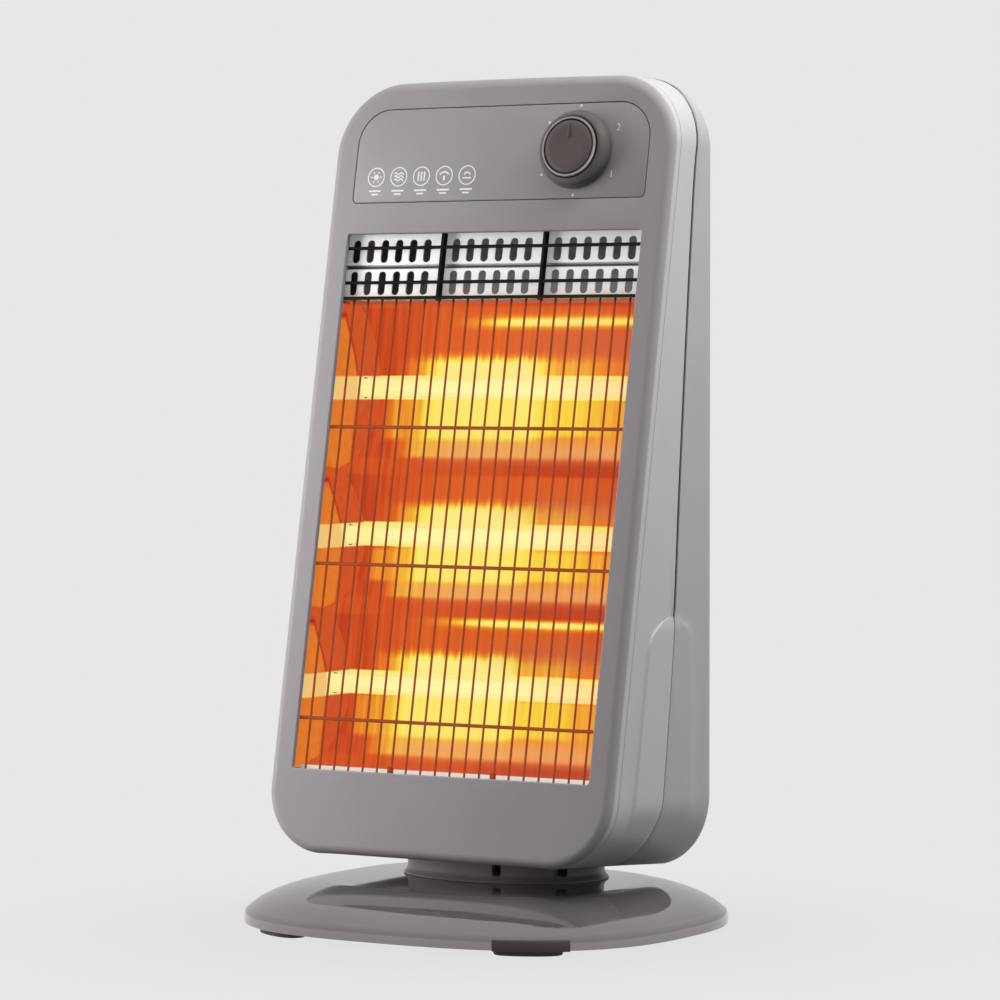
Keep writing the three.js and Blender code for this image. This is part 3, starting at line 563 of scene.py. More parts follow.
def rolled(reach, y):
    """The inset of a rolled edge of radius reach at depth y."""
    over = min(max(y - ROLL_START, 0), reach)
    return reach - sqrt(reach * reach - over * over)


def wall_row(share, nudge=0.0):
    """A line over the rear wall: share 0 is its front edge, 1 the pad's edge and 2 where it rolls in."""

    def depth_at(z):
        start = rear_edge(z) + nudge
        end = max(ROLL_START, start + 0.4)
        pad = min(max(pad_rear(z), start + 0.2 * (end - start)), end - 0.2 * (end - start))
        if share <= 1:
            return start + (pad - start) * share
        return pad + (end - pad) * (share - 1)

    return depth_at


def arc_row(share, reach, lead):
    """A line over the rolled edge, from the end of the wall at share 0 to the back at 1."""

    def depth_at(z):
        start = max(ROLL_START, rear_edge(z) + lead + 0.4)
        first = asin(min((start - ROLL_START) / reach, 1))
        return ROLL_START + reach * sin(first + (pi / 2 - first) * share)

    return depth_at


def outer(y, z):
    return padded(y, z) + rolled(REAR_ROLL, y)


def inner(y, z):
    return WALL + rolled(REAR_ROLL - WALL, y)


rear_rings = [ring(REAR_ROLL + 0.5, lambda z: BACK - WALL)]
rear_rings += [ring(inner, arc_row(share / 5, REAR_ROLL - WALL, 4.5)) for share in range(5, -1, -1)]
rear_rings += [ring(inner, lambda z: rear_edge(z) + 4.5), ring(WALL, lambda z: rear_edge(z) + 0.5)]
rear_rings += [ring(WALL - 0.3, rear_edge)]
for inset, away in EDGE:
    rear_rings.append(ring(lambda y, z, inset=inset: padded(y, z) + inset, wall_row(0, away)))
rear_rings += [ring(outer, wall_row(share / 6, 0.5)) for share in range(1, 6)]
rear_rings += [ring(outer, wall_row(1, 0.5 + nudge)) for nudge in (-0.8, -0.3, 0.3, 0.8)]
rear_rings += [ring(outer, wall_row(1 + share / 4, 0.5)) for share in range(1, 4)]
rear_rings += [ring(outer, arc_row(share / 12, REAR_ROLL, 0.5)) for share in range(13)]
rear_rings += [ring(REAR_ROLL + 0.5, lambda z: BACK)]
rear = skin(rear_rings)


def grown(name, places, form, **sizes):
    """One form set at every place by Geometry Nodes; the sizes are the tree's named inputs."""
    tree = bpy.data.node_groups.new(name, "GeometryNodeTree")
    tree.interface.new_socket("Places", in_out="INPUT", socket_type="NodeSocketGeometry")
    sockets = {}
    for size, value in sizes.items():
        kind = "NodeSocketVector" if isinstance(value, tuple) else "NodeSocketFloat"
        sockets[size] = tree.interface.new_socket(size, in_out="INPUT", socket_type=kind)
    tree.interface.new_socket("Pieces", in_out="OUTPUT", socket_type="NodeSocketGeometry")
    given = tree.nodes.new("NodeGroupInput")
    start = Value(given.outputs["Places"])
    item = form(start, **{size: Value(given.outputs[size]) for size in sizes})
    spread = start.node("GeometryNodeInstanceOnPoints", {"Points": start, "Instance": item})
    real = start.node("GeometryNodeRealizeInstances", {"Geometry": spread})
    done = start.node("GeometryNodeSetMaterial", {"Geometry": real, "Material": shell_paint})
    tree.links.new(done.socket, tree.nodes.new("NodeGroupOutput").inputs["Pieces"])
    points = bpy.data.meshes.new(name)
    points.from_pydata(places, [], [])
    holder = bpy.data.objects.new(name + "_places", points)
    bpy.context.collection.objects.link(holder)
    step = holder.modifiers.new(name, "NODES")
    step.node_group = tree
    for size, value in sizes.items():
        step[sockets[size].identifier] = value
    graph = bpy.context.evaluated_depsgraph_get()
    shape = bmesh.new()
    shape.from_mesh(bpy.data.meshes.new_from_object(holder.evaluated_get(graph)))
    bpy.data.objects.remove(holder)
    bmesh.ops.remove_doubles(shape, verts=shape.verts, dist=0.001)
    bmesh.ops.recalc_face_normals(shape, faces=shape.faces)
    return shape


def bar(start, From, To, Broad, Thick, Corner):
    """A straight bar between two points with rounded corners along it."""
    line = start.node("GeometryNodeCurvePrimitiveLine", {"Start": From, "End": To})
    section = start.node("GeometryNodeCurvePrimitiveQuadrilateral", {"Width": Broad, "Height": Thick})
    round_off = {"Curve": section, "Count": 5, "Radius": Corner}
    smoothed = start.node("GeometryNodeFilletCurve", round_off, mode="POLY")
    sweep = {"Curve": line, "Profile Curve": smoothed, "Fill Caps": True}
    return start.node("GeometryNodeCurveToMesh", sweep)


def cross_screw(start, Radius, Rise, Slot):
    """A low screw head with a cross recess, its top facing along y."""
    cone = {"Vertices": 32, "Radius Top": Radius * 0.72, "Radius Bottom": Radius, "Depth": Rise}
    head = start.node("GeometryNodeMeshCone", cone)
    for turn in (0, 1):
        reach = start.node("ShaderNodeCombineXYZ", {turn: Radius * 1.05, 1 - turn: Slot, 2: Rise})
        blade = start.node("GeometryNodeMeshCube", {"Size": reach})
        lift = start.node("ShaderNodeCombineXYZ", {0: 0.0, 1: 0.0, 2: Rise * 0.95})
        blade = start.node("GeometryNodeTransform", {"Geometry": blade, "Translation": lift})
        cut = start.node("GeometryNodeMeshBoolean", {"Mesh 1": head}, operation="DIFFERENCE")
        start.socket.id_data.links.new(blade.socket, cut.socket.node.inputs["Mesh 2"])
        head = cut
    return start.node("GeometryNodeTransform", {"Geometry": head, "Rotation": (-pi / 2, 0.0, 0.0)})


def grip_form(section):
    """The grip's round-cornered outline, grown by each (grow, y) of a section."""
    return skin([[(x, y, z) for x, z in rounded(GRIP, GRIP_CORNER, grow=grow)] for grow, y in section])


GRIP_CORNER = 8
GRIP_FLOOR = BACK - GRIP_DEPTH
EDGE_ROLL = 1.2  # round the grip's mouth
FLOOR_ROLL = 3  # where its sides meet its floor
grip_cup = [(WALL - 0.6, GRIP_FLOOR - WALL), (WALL, GRIP_FLOOR - WALL + 0.6), (WALL, BACK - 1)]
grip_hollow = [(EDGE_ROLL, BACK + 3)]
grip_hollow += [(EDGE_ROLL * (1 - sin(a)), BACK - EDGE_ROLL * (1 - cos(a))) for a in quarter(4)]
grip_hollow += [(-FLOOR_ROLL * (1 - cos(a)), GRIP_FLOOR + FLOOR_ROLL * (1 - sin(a))) for a in quarter(4)]
rear = carve(rear, [grip_form(grip_cup)], "UNION")
louvre_places = [(x, 0, z + 1.75) for x in (-44, 44) for z in LOUVRE_ROWS]
louvres = grown("louvres", louvre_places, bar, From=(0, BACK - 5, 0), To=(0, BACK + 5, 0), Broad=76.0,
                Thick=3.5, Corner=1.7)
screw_wells = grown("screw_wells", [(x, 0, z) for x, z in SCREW_PLACES], bar, From=(0, BACK - 1.3, 0),
                    To=(0, BACK + 5, 0), Broad=9.0, Thick=9.0, Corner=4.45)
lead_place = Matrix.Translation((LEAD_X, BACK, LEAD_Z))
lead_way = rod(6, -10, 10, lead_place @ Matrix.Rotation(pi / 2, 4, "X"))
floor_ways = [rod(r, 30, 56, Matrix.Translation((x, SWIVEL_Y, 0)), 64) for x, r in ((0, 15), (30, 20))]
rear = carve(rear, [grip_form(grip_hollow), louvres, screw_wells, lead_way, *floor_ways])
# Painted shade: the rear shell's grey is the front shell's grey made darker.
rear_shaded_paint = moulded("rear_shaded_paint", (168, 165, 169), **SATIN)
fitted("shell_rear", rear, rear_shaded_paint, "head", "shell_plastic", "rear_shell")


# ---------------------------------------------------------------- seam lip and back screws
# A lip inside both shells fills the shadow gap between them from behind; its near-black colour is painted
# shade, the shade deep in the gap. Six cross screws of bright steel sit in the wells of the back and hold the
# shells together.
SHADOW = 0.9  # how deep the lip lies in the gap
seam_rings = [ring(LIP_BACK, lambda z: seam_at(z) - 4), ring(LIP, lambda z: seam_at(z) - 4)]
seam_rings += [ring(inset, lambda z: seam_at(z) + 0.15) for inset in (LIP, SHADOW)]
seam_rings += [ring(inset, lambda z: rear_edge(z) - 0.15) for inset in (SHADOW, LIP)]
seam_rings += [ring(LIP, lambda z: rear_edge(z) + 4), ring(LIP_BACK, lambda z: rear_edge(z) + 4)]
# Painted shade: the lip's near-black colour stands for the shade deep inside the gap.
seam_painted_shade = moulded("seam_lip_painted_shade", (34, 31, 33), 0.7)
fitted("seam_lip", skin(seam_rings, wrap=True), seam_painted_shade, "head", "dark_plastic")

steel_bright = Finish("screw_steel", Metallic=1.0)
worn = steel_bright.noise(2.5, 3)
steel_tone = worn.mix(linear(120, 118, 116), linear(176, 174, 172))
steel_bright.link(Base_Color=steel_tone, Roughness=worn * 0.25 + 0.22)
steel_bright.bump(steel_bright.noise(0.6, 2), 0.3, 0.03)
screw_heads = [(x, BACK - 0.75, z) for x, z in SCREW_PLACES]
screws = grown("back_screws", screw_heads, cross_screw, Radius=3.9, Rise=1.1, Slot=0.9)
fitted("back_screws", screws, steel_bright.material, "head", "steel")


# ---------------------------------------------------------------- lead gland
# A soft flanged bush that guards the lead's way out low on the back, with three grip rings on its nose.
gland_line = [(3.5, -8), (5.4, -8), (5.7, -7.6), (5.7, 0.3), (8.1, 0.3), (8.5, 0.7), (8.4, 1.6), (7.6, 2.8)]
gland_line += [(6.6, 3.1), (6.5, 3.6), (5.9, 3.8), (5.8, 4.2), (5.2, 4.4), (4.7, 4.9), (4.2, 5), (3.7, 5)]
gland_line.append((3.5, 4.8))
gland_stand = lead_place @ Matrix.Rotation(-pi / 2, 4, "X")
rubber = moulded("black_rubber", (84, 77, 74), 0.62, grain=0.5, flake=0.12, clouds=0.12)
fitted("gland", turned(gland_line, 48, wrap=True, along=gland_stand), rubber, "head", "rubber", "lead_gland")


# ---------------------------------------------------------------- control panel
# A thin moulded insert in the front frame's recess, with white printed marks: a plain 0, 1, 2 scale round
# the knob and a row of ring-shaped pictograms with a line under each.
def plate(outlines, front, back, edge=0.25):
    """A thin plate behind the face, its front edge rounded: outlines(grow) gives its outline."""
    section = [(-edge, front), (-edge * 0.3, front + edge * 0.3), (0, front + edge), (0, back)]
    shape = skin([[(x, depth, s) for x, s in outlines(grow)] for grow, depth in section])
    shape.transform(FACE)
    return shape


insert = plate(lambda grow: rounded(PANEL, *PANEL_CORNERS, grow=grow), 0.05, PANEL_THICK, 0.4)
insert = carve(insert, [rod(5, -20, 20, out_of_face(KNOB_X, KNOB_S))])
panel_paint = moulded("panel_paint", (147, 142, 144), 0.4, grain=0.2, Metallic=0.12, Coat_Weight=0.05)
fitted("panel_insert", insert, panel_paint, "head", "control_panel", "control_panel")

PRINT = (-0.04, 0.06)  # the print's front and back, just let into the insert


def ribbon(points, width, closed=False):
    """A printed line of that width along (x, s) points."""
    line = [Vector(point) for point in points]
    count = len(line)
    rows = []
    for i, here in enumerate(line):
        before = line[(i - 1) % count] if closed or i else here
        after = line[(i + 1) % count] if closed or i < count - 1 else here
        side = (after - before).normalized().orthogonal() * width / 2
        (x0, s0), (x1, s1) = here + side, here - side
        rows.append([(x0, PRINT[0], s0), (x1, PRINT[0], s1), (x1, PRINT[1], s1), (x0, PRINT[1], s0)])
    shape = skin(rows, wrap=closed)
    shape.transform(FACE)
    return shape


def arc(x, s, radius, start=0, end=360, steps=32):
    """Points on an arc from start to end, in degrees anticlockwise from the right."""
    angles = [radians(start + (end - start) * i / steps) for i in range(steps + (end - start < 360))]
    return [(x + radius * cos(a), s + radius * sin(a)) for a in angles]


def written(text, x, s, size):
    """A printed figure centred on x and s."""
    curve = bpy.data.curves.new(text, "FONT")
    curve.body = text
    curve.size = size
    curve.extrude = (PRINT[1] - PRINT[0]) / 2
    curve.align_x = "CENTER"
    curve.align_y = "CENTER"
    held = bpy.data.objects.new(text, curve)
    bpy.context.collection.objects.link(held)
    graph = bpy.context.evaluated_depsgraph_get()
    shape = bmesh.new()
    shape.from_mesh(bpy.data.meshes.new_from_object(held.evaluated_get(graph)))
    bpy.data.objects.remove(held)
    bmesh.ops.remove_doubles(shape, verts=shape.verts, dist=0.0005)
    shape.transform(out_of_face(x, s, sum(PRINT) / 2))
    return shape


def merged(shapes):
    """One mesh of several shapes that don't touch."""
    whole = bmesh.new()
    for shape in shapes:
        mesh = mesh_of("part", shape)
        whole.from_mesh(mesh)
        bpy.data.meshes.remove(mesh)
    return whole


def at_dial(angle, radius):
    """A place round the knob, by degrees clockwise from straight up."""
    return KNOB_X + radius * sin(radians(angle)), KNOB_S + radius * cos(radians(angle))


dots = [arc(*at_dial(angle, 28.6), 0.45, steps=12) for angle in (0, 310, 180, 238)]
prints = [ribbon(dot, 0.8, closed=True) for dot in dots]
prints.append(written("2", *at_dial(64, 31.5), 6.5))
prints.append(written("1", *at_dial(121, 30.5), 6.5))
PICTOGRAM_X = [-91 + 17.1 * i for i in range(5)]
PICTOGRAM_S = 433.5
for x in PICTOGRAM_X:
    prints.append(ribbon(arc(x, PICTOGRAM_S, 6.0, steps=48), 0.7, closed=True))
    prints.append(ribbon([(x - 4.5, 424.4), (x + 4.5, 424.4)], 1.1))
    prints.append(ribbon([(x - 2.5, 422.2), (x + 2.5, 422.2)], 1.0))
sun, wave, bars, swing, rest_mark = PICTOGRAM_X
prints.append(ribbon(arc(sun, PICTOGRAM_S, 1.0, steps=16), 1.6, closed=True))
for k in range(6):
    beam = Vector((cos(pi / 3 * k), sin(pi / 3 * k)))
    prints.append(ribbon([Vector((sun, PICTOGRAM_S)) + reach * beam for reach in (2.6, 4)], 0.7))
for level in (-2, 0, 2):
    swell = [(wave - 3.6 + 0.6 * k, PICTOGRAM_S + level + 0.7 * sin(0.9 * k)) for k in range(13)]
    prints.append(ribbon(swell, 0.8))
for x in (bars - 2.2, bars, bars + 2.2):
    prints.append(ribbon([(x, PICTOGRAM_S - 3), (x, PICTOGRAM_S + 3)], 1.0))
prints.append(ribbon(arc(swing, PICTOGRAM_S - 1.6, 4.0, 35, 145, 18), 0.9))
prints.append(ribbon([(swing, PICTOGRAM_S - 3), (swing, PICTOGRAM_S)], 1.4))
prints.append(ribbon([(rest_mark - 3, PICTOGRAM_S - 1.8), (rest_mark + 3, PICTOGRAM_S - 1.8)], 0.9))
prints.append(ribbon(arc(rest_mark, PICTOGRAM_S - 0.6, 2.4, 20, 160, 14), 0.9))
ink = Finish("white_print")
patchy = ink.noise(1.2, 3)
ink.link(Base_Color=patchy.mix(linear(214, 212, 214), linear(246, 245, 246)), Roughness=patchy * 0.2 + 0.4)
ink.bump(patchy, 0.2, 0.02)
fitted("panel_print", merged(prints), ink.material, "head", "light_plastic")


# ---------------------------------------------------------------- knob
# A dark moulded skirt with a flat top recess, a thin chrome ring let into it, and a dimmer dished cap with
# a raised pointer. It turns with the switch's shaft.
on_knob = out_of_face(KNOB_X, KNOB_S)
skirt_line = [(3.3, 6), (3.3, 0.5), (23.9, 0.5), (24.5, 0.7), (24.9, 1.1), (25, 1.6), (25, 2.8), (24.8, 3.5)]
skirt_line += [(24.1, 5.4), (23.1, 7.0), (22, 8.3), (21.2, 9), (20.5, 9.35), (19.9, 9.35), (19.7, 9.1)]
skirt_line += [(19.7, 7), (2, 7)]
knob_dark = moulded("knob_black", (82, 76, 74), 0.3, grain=0.25, flake=0.08, clouds=0.1, Coat_Weight=0.2)
fitted("knob_skirt", turned(skirt_line, along=on_knob), knob_dark, "knob", "dark_plastic", "knob_body")
ring_line = [(17.4, 7.3), (19.3, 7.3), (19.3, 10.2), (19.2, 10.7), (18.9, 11.1), (18.35, 11.25), (17.8, 11.1)]
ring_line += [(17.5, 10.7), (17.4, 10.2)]
chrome = Finish("knob_chrome", Metallic=1.0)
rubbed = chrome.noise(6, 3)
chrome_tone = rubbed.mix(linear(160, 155, 155), linear(214, 210, 211))
chrome.link(Base_Color=chrome_tone, Roughness=rubbed * 0.12 + 0.1)
chrome.bump(chrome.noise(0.8, 2), 0.12, 0.02)
chrome_ring = turned(ring_line, wrap=True, along=on_knob)
fitted("knob_chrome_ring", chrome_ring, chrome.material, "knob", "chrome", "knob_ring")
cap_line = [(2, 7.3), (16.9, 7.3), (17.1, 7.5), (17.1, 9.8), (16.9, 10.5), (16.3, 11.3), (15.4, 11.9)]
cap_line += [(14, 12.3), (12.6, 12.45), (11, 12.35), (8, 12.1), (5, 11.95), (2, 11.9)]
knob_cap = turned(cap_line, along=on_knob)
pointer_line = rounded((-0.9, 0.9, 5, 14.5), 0.85, steps=6)
pointer_levels = ((1, 9.5), (1, 12.7), (0.7, 12.8))
pointer = skin([[(x * narrow, s, h) for x, s in pointer_line] for narrow, h in pointer_levels])
pointer.transform(on_knob)
knob_cap = carve(knob_cap, [pointer], "UNION")
DIM_METAL = {"Metallic": 0.3, "Coat_Weight": 0.15}
cap_paint = moulded("knob_cap_paint", (90, 81, 79), 0.4, grain=0.2, flake=0.08, clouds=0.08, **DIM_METAL)
fitted("knob_top", knob_cap, cap_paint, "knob", "cap_plastic", "knob_cap")


# ---------------------------------------------------------------- wire guard
# Welded steel wire, chromed and then darkened by the heat: a border, six cross wires and twenty uprights
# behind them. Two uprights run on over the vent plate under broad bars, clipped at top and foot. In front of
# the glow the wires are painted brown-red and glow a little, as painted light.
WIRE = 1.4
CROSS = 2.2
BORDER = 2.6
WIRE_X = [(i - 9.5) * 10.71 for i in range(20)]
BAR_X = (WIRE_X[6], WIRE_X[13])
GUARD_HALF = 111.6
GUARD_LOW = 49.4
GUARD_HIGH = 400.2
VENT_LOW = 354.5
CROSS_WIRES = (85.5, 184, 272, 355.5, 365.5, 388)
UPRIGHT_DEPTH = 5.6
CROSS_DEPTH = 3.9
BORDER_DEPTH = 4.75
CLIP_DEPTH = 4.45


def wires(name, places, From, To, size):
    """Like round wires between two points."""
    return grown(name, places, bar, From=From, To=To, Broad=size, Thick=size, Corner=size * 0.498)


short_x = [x for x in WIRE_X if x not in BAR_X]
foot_end = (0, 0, GUARD_LOW)
guard_parts = []
for xs, high in ((short_x, VENT_LOW + 1.8), (BAR_X, GUARD_HIGH)):
    guard_parts.append(wires("uprights", [(x, UPRIGHT_DEPTH, 0) for x in xs], foot_end, (0, 0, high), WIRE))
across_from, across_to = (-GUARD_HALF, 0, 0), (GUARD_HALF, 0, 0)
cross_places = [(0, CROSS_DEPTH, s) for s in CROSS_WIRES]
guard_parts.append(wires("cross_wires", cross_places, across_from, across_to, CROSS))
side_places = [(x, BORDER_DEPTH, 0) for x in (-GUARD_HALF, GUARD_HALF)]
guard_parts.append(wires("border_sides", side_places, (0, 0, GUARD_LOW - 1), (0, 0, GUARD_HIGH + 1), BORDER))
end_places = [(0, BORDER_DEPTH, s) for s in (GUARD_LOW, GUARD_HIGH)]
guard_parts.append(wires("border_ends", end_places, (-GUARD_HALF - 1, 0, 0), (GUARD_HALF + 1, 0, 0), BORDER))
clip_places = [(x, CLIP_DEPTH, 0) for x in BAR_X]
for low, high in ((VENT_LOW - 1, GUARD_HIGH), (GUARD_LOW, 57)):
    reach = {"From": (0, 0, low), "To": (0, 0, high)}
    guard_parts.append(grown("clips", clip_places, bar, **reach, Broad=2.3, Thick=4.6, Corner=0.6))
guard = merged(guard_parts)
guard.transform(FACE)
wire_steel = Finish("guard_wire", Metallic=0.6, Emission_Strength=1.0)
glow_and_soot = wire_steel.noise(9, 4)
# Below the vent plate the wires are painted brown-red and glow a little: painted light from the glowing
# reflector behind them.
glow_lit = up_the_face(wire_steel)[1].smooth(356, 348)
wire_steel.link(Base_Color=glow_lit.mix(linear(24, 20, 19), glow_and_soot.mix(linear(96, 44, 24), linear(132, 66, 36))))
wire_steel.link(Emission_Color=glow_lit.mix((0, 0, 0, 1), glow_and_soot.mix(linear(104, 42, 18), linear(136, 60, 26))))
wire_steel.link(Roughness=glow_and_soot * 0.2 + 0.3)
wire_steel.bump(wire_steel.noise(1.5, 3), 0.3, 0.04)
wired = fitted("guard", guard, wire_steel.material, "head", "guard_wire", "wire_guard")
wired.visible_glossy = False


# ---------------------------------------------------------------- vent plate
# Bright sheet steel above the lamps, with two rows of round-ended slots, a pressed groove between them and
# a lip that runs back to the reflector. Hot air leaves through it. The sheet's front shines a little and its
# lip glows red-orange, both painted light, and a painted shade line darkens the groove.
VENT_ROWS = ((358, 373.5), (379, 394))
VENT_TOP = 401.6
VENT_FRONT = 7  # depths of the sheet's front and back
VENT_BACK = 8
LIP_DEPTH = 19  # how far back the lower lip reaches
GROOVE_S = 376.25
SLOT_SHIFT = 3  # the slots lie a little to the left of the wires in front


def across(outline, left, right):
    """An outline of (depth, s) points drawn out across the head."""
    shape = skin([[(x, depth, s) for depth, s in outline] for x in (left, right)])
    shape.transform(FACE)
    return shape


def groove(front, half_width, steps):
    """The pressed groove's curve across one side of the sheet."""
    return [(front + 2 * (1 - (k / 4) ** 2), GROOVE_S + half_width * k / 4) for k in steps]


vent_line = [(LIP_DEPTH, VENT_LOW), (8.2, VENT_LOW), (7.4, VENT_LOW + 0.35), (VENT_FRONT, VENT_LOW + 1.2)]
vent_line += [*groove(VENT_FRONT, 1.5, range(-4, 5)), (VENT_FRONT, VENT_TOP), (VENT_BACK, VENT_TOP)]
vent_line += [*groove(VENT_BACK, 2, range(4, -5, -1)), (VENT_BACK, VENT_LOW + 1), (LIP_DEPTH, VENT_LOW + 1)]
slots = []
for low, high in VENT_ROWS:
    places = [(x - SLOT_SHIFT, 0, (low + high) / 2) for x in short_x]
    reach = {"From": (0, 4, 0), "To": (0, 14, 0)}
    slots.append(grown("vent_slots", places, bar, **reach, Broad=5.6, Thick=high - low, Corner=2.6))
    slots[-1].transform(FACE)
vent = carve(across(vent_line, -111, 111), slots)

bright_sheet = Finish("bright_sheet", Metallic=0.05, Emission_Strength=0.22)
depth, s = up_the_face(bright_sheet)
brushed = bright_sheet.noise(3, 4, (12, 1, 0.3))
warm = s.smooth(364, 353)
sheet_tone = warm.mix(brushed.mix(linear(226, 226, 224), linear(250, 250, 248)), linear(236, 214, 190))
# A painted shade line darkens the pressed groove.
groove_painted_shade = s.bell(GROOVE_S, 1.0)
sheet_tone = groove_painted_shade.mix(sheet_tone, linear(30, 26, 25))
# The lip is painted red-orange and glows, as painted light from the reflector; the sheet's front shines a
# little, as painted light too.
lip = depth.smooth(8.3, 8.8) * s.smooth(356.6, 356)
sheet_tone = lip.mix(sheet_tone, linear(196, 84, 48))
shining = depth.smooth(7.6, 7.2).mix((0, 0, 0, 1), sheet_tone)
bright_sheet.link(Base_Color=sheet_tone, Emission_Color=lip.mix(shining, (1.5, 0.3, 0.08, 1)))
bright_sheet.link(Roughness=brushed * 0.2 + 0.3)
bright_sheet.bump(brushed, 0.15, 0.03)
vented = fitted("vent", vent, bright_sheet.material, "head", "bright_sheet", "vent_plate")
vented.visible_glossy = False


# ---------------------------------------------------------------- reflector
# Polished sheet pressed into three parabolic troughs, one behind each lamp. Its painted glow is the image of
# the burning filaments: a hot arch behind each tube, yellow below it, orange ridges between the troughs.
TROUGH_EDGES = (58, 157, 247, 356)
RIDGE_DEPTH = 24
TROUGH_DEPTH = 56
SHEET = 1
LAMP_LEVELS = (112, 208, 304)
LAMP_DEPTH = 40


def trough_depth(up):
    """The sheet's depth in a trough, up being -1 on its lower ridge and 1 on its upper."""
    return RIDGE_DEPTH + (TROUGH_DEPTH - RIDGE_DEPTH) * (1 - up * up)


def trough_line(steps):
    """The sheet's front line as (depth, s) points, from the bottom lip to the last ridge."""
    line = [(8, 51), (8, 56)]
    for low, high in zip(TROUGH_EDGES, TROUGH_EDGES[1:]):
        for i in range(0 if low == TROUGH_EDGES[0] else 1, steps + 1):
            line.append((trough_depth(2 * i / steps - 1), low + (high - low) * i / steps))
    return line + [(19.5, TROUGH_EDGES[-1])]


front_line = trough_line(32)
back_line = []
for i, (depth, s) in enumerate(front_line):
    d0, s0 = front_line[max(i - 1, 0)]
    d1, s1 = front_line[min(i + 1, len(front_line) - 1)]
    run = sqrt((d1 - d0) ** 2 + (s1 - s0) ** 2)
    back_line.append((depth + SHEET * (s1 - s0) / run, s - SHEET * (d1 - d0) / run))
reflector = across(front_line + back_line[::-1], -107.8, 107.8)

HEAT = (  # from a dull ridge to the image of the filament
    (0.0, linear(92, 30, 18)), (0.2, linear(170, 58, 28)), (0.38, linear(208, 76, 34)),
    (0.55, linear(230, 112, 40)), (0.7, linear(243, 162, 50)), (0.85, linear(252, 226, 84)),
    (1.0, linear(253, 240, 145)),
)
ROSE = linear(242, 165, 105)
DUSKY = linear(196, 100, 64)


def trough_of(s):
    """How far up its trough a point lies, from -1 to 1, and its rise over the trough's lamp."""
    low, high, lamp = TROUGH_EDGES[0], TROUGH_EDGES[1], LAMP_LEVELS[0]
    for start, end, level in zip(TROUGH_EDGES[1:], TROUGH_EDGES[2:], LAMP_LEVELS[1:]):
        above = s.math("GREATER_THAN", s, start)
        low = low + above * (start - low)
        high = high + above * (end - high)
        lamp = lamp + above * (level - lamp)
    return (s - low) / (high - low) * 2 - 1, s - lamp


def glowing(finish):
    """Where the sheet's front is, and the glow's colour over it."""
    depth, s = up_the_face(finish)
    up, rise = trough_of(s)
    shown = finish.x + depth * 0.61  # the images of the filaments drift to the right with depth
    lines = finish.x.node("ShaderNodeCombineXYZ", {0: shown * 0.28, 1: s * 0.012, 2: 0.0})
    streak = lines.node("ShaderNodeTexNoise", {"Vector": lines, "Scale": 1.0, "Detail": 3.0}) - 0.5
    middle = shown.smooth(-82, -12)
    fading = shown.smooth(36, 60)
    far = shown.smooth(72, 112)
    # over the lamp: a dull sheet with the hot arch standing on the tube
    upper = 0.36 + middle * 0.14 - far * 0.08
    hot = 0.97 - fading * 0.25 - far * 0.17
    arch = (26 + streak * 6 - rise).smooth(0, 9) * shown.smooth(-68, -18)
    level = upper + arch * (hot - upper)
    # under it: a yellow field, then a rosy one; the middle trough's image is shorter
    warming = shown.smooth(-76, -60) * 0.34 + shown.smooth(-50, -28) * 0.22
    lower = 0.34 + warming - fading * 0.09 - far * 0.13
    pink = 0.38 + shown.smooth(-66, -38) * 0.36 - fading * 0.06
    low_down = up * (1 + s.bell(200, 40) * 0.16)
    under = (low_down - fading * 0.06).smooth(-0.5, -0.6)
    below = up.smooth(0.05, -0.05)
    level = level + below * (lower - level)
    level = level + below * under * (pink - level)
    # dark ridges, a bright band beside each tube, two thin lines of light and upright streaks
    ridge = up.smooth(0.93, 0.99) + low_down.smooth(-0.77, -0.86)
    level = level + ridge * (0.43 - shown.smooth(-20, 90) * 0.12 - level)
    beside = (rise - 3).math("ABSOLUTE", rise - 3).smooth(8.2, 7)
    level = level + beside * (0.97 - far * 0.1 - level)
    thin = (s.bell(345.5, 3) + s.bell(152.5, 2.4)) * shown.smooth(-30, 30)
    level = level + thin * 0.48 + streak * (0.42 - middle * 0.26)
    rosy_below = low_down.bell(-0.7, 0.13) * shown.smooth(-55, -5) * 0.75
    dusky_above = up.bell(0.58, 0.18) * shown.smooth(0, 80) * 0.5
    tint = up.smooth(-0.1, 0.1).mix(ROSE, DUSKY)
    glow = (rosy_below + dusky_above).mix(level.ramp(*HEAT), tint)
    return (depth - trough_depth(up)).smooth(0.7, 0.4), glow


def seen_only(piece):
    """The camera sees the glow, but it neither lights the casing nor shows again in the glossy base."""
    piece.visible_glossy = False
    piece.visible_diffuse = False


# The sheet's warm brown metal is painted light from the glow, and the pale strip along its bottom lip is
# painted to shine a little.
polished = Finish("reflector_sheet", Metallic=0.9, Emission_Strength=0.95)
haze = polished.noise(5, 4, (6, 1, 1))
strip = up_the_face(polished)[1].smooth(57.2, 56.2)
inside, glow = glowing(polished)
polished.link(Emission_Color=strip.mix(inside.mix((0, 0, 0, 1), glow), (0.3, 0.26, 0.22, 1)))
polished.link(Base_Color=strip.mix(haze.mix(linear(70, 32, 20), linear(96, 48, 28)), linear(240, 238, 234)))
polished.link(Roughness=haze * 0.2 + 0.25)
polished.bump(haze, 0.1, 0.05)
seen_only(fitted("trough_reflector", reflector, polished.material, "head", "reflector_sheet", "reflector"))


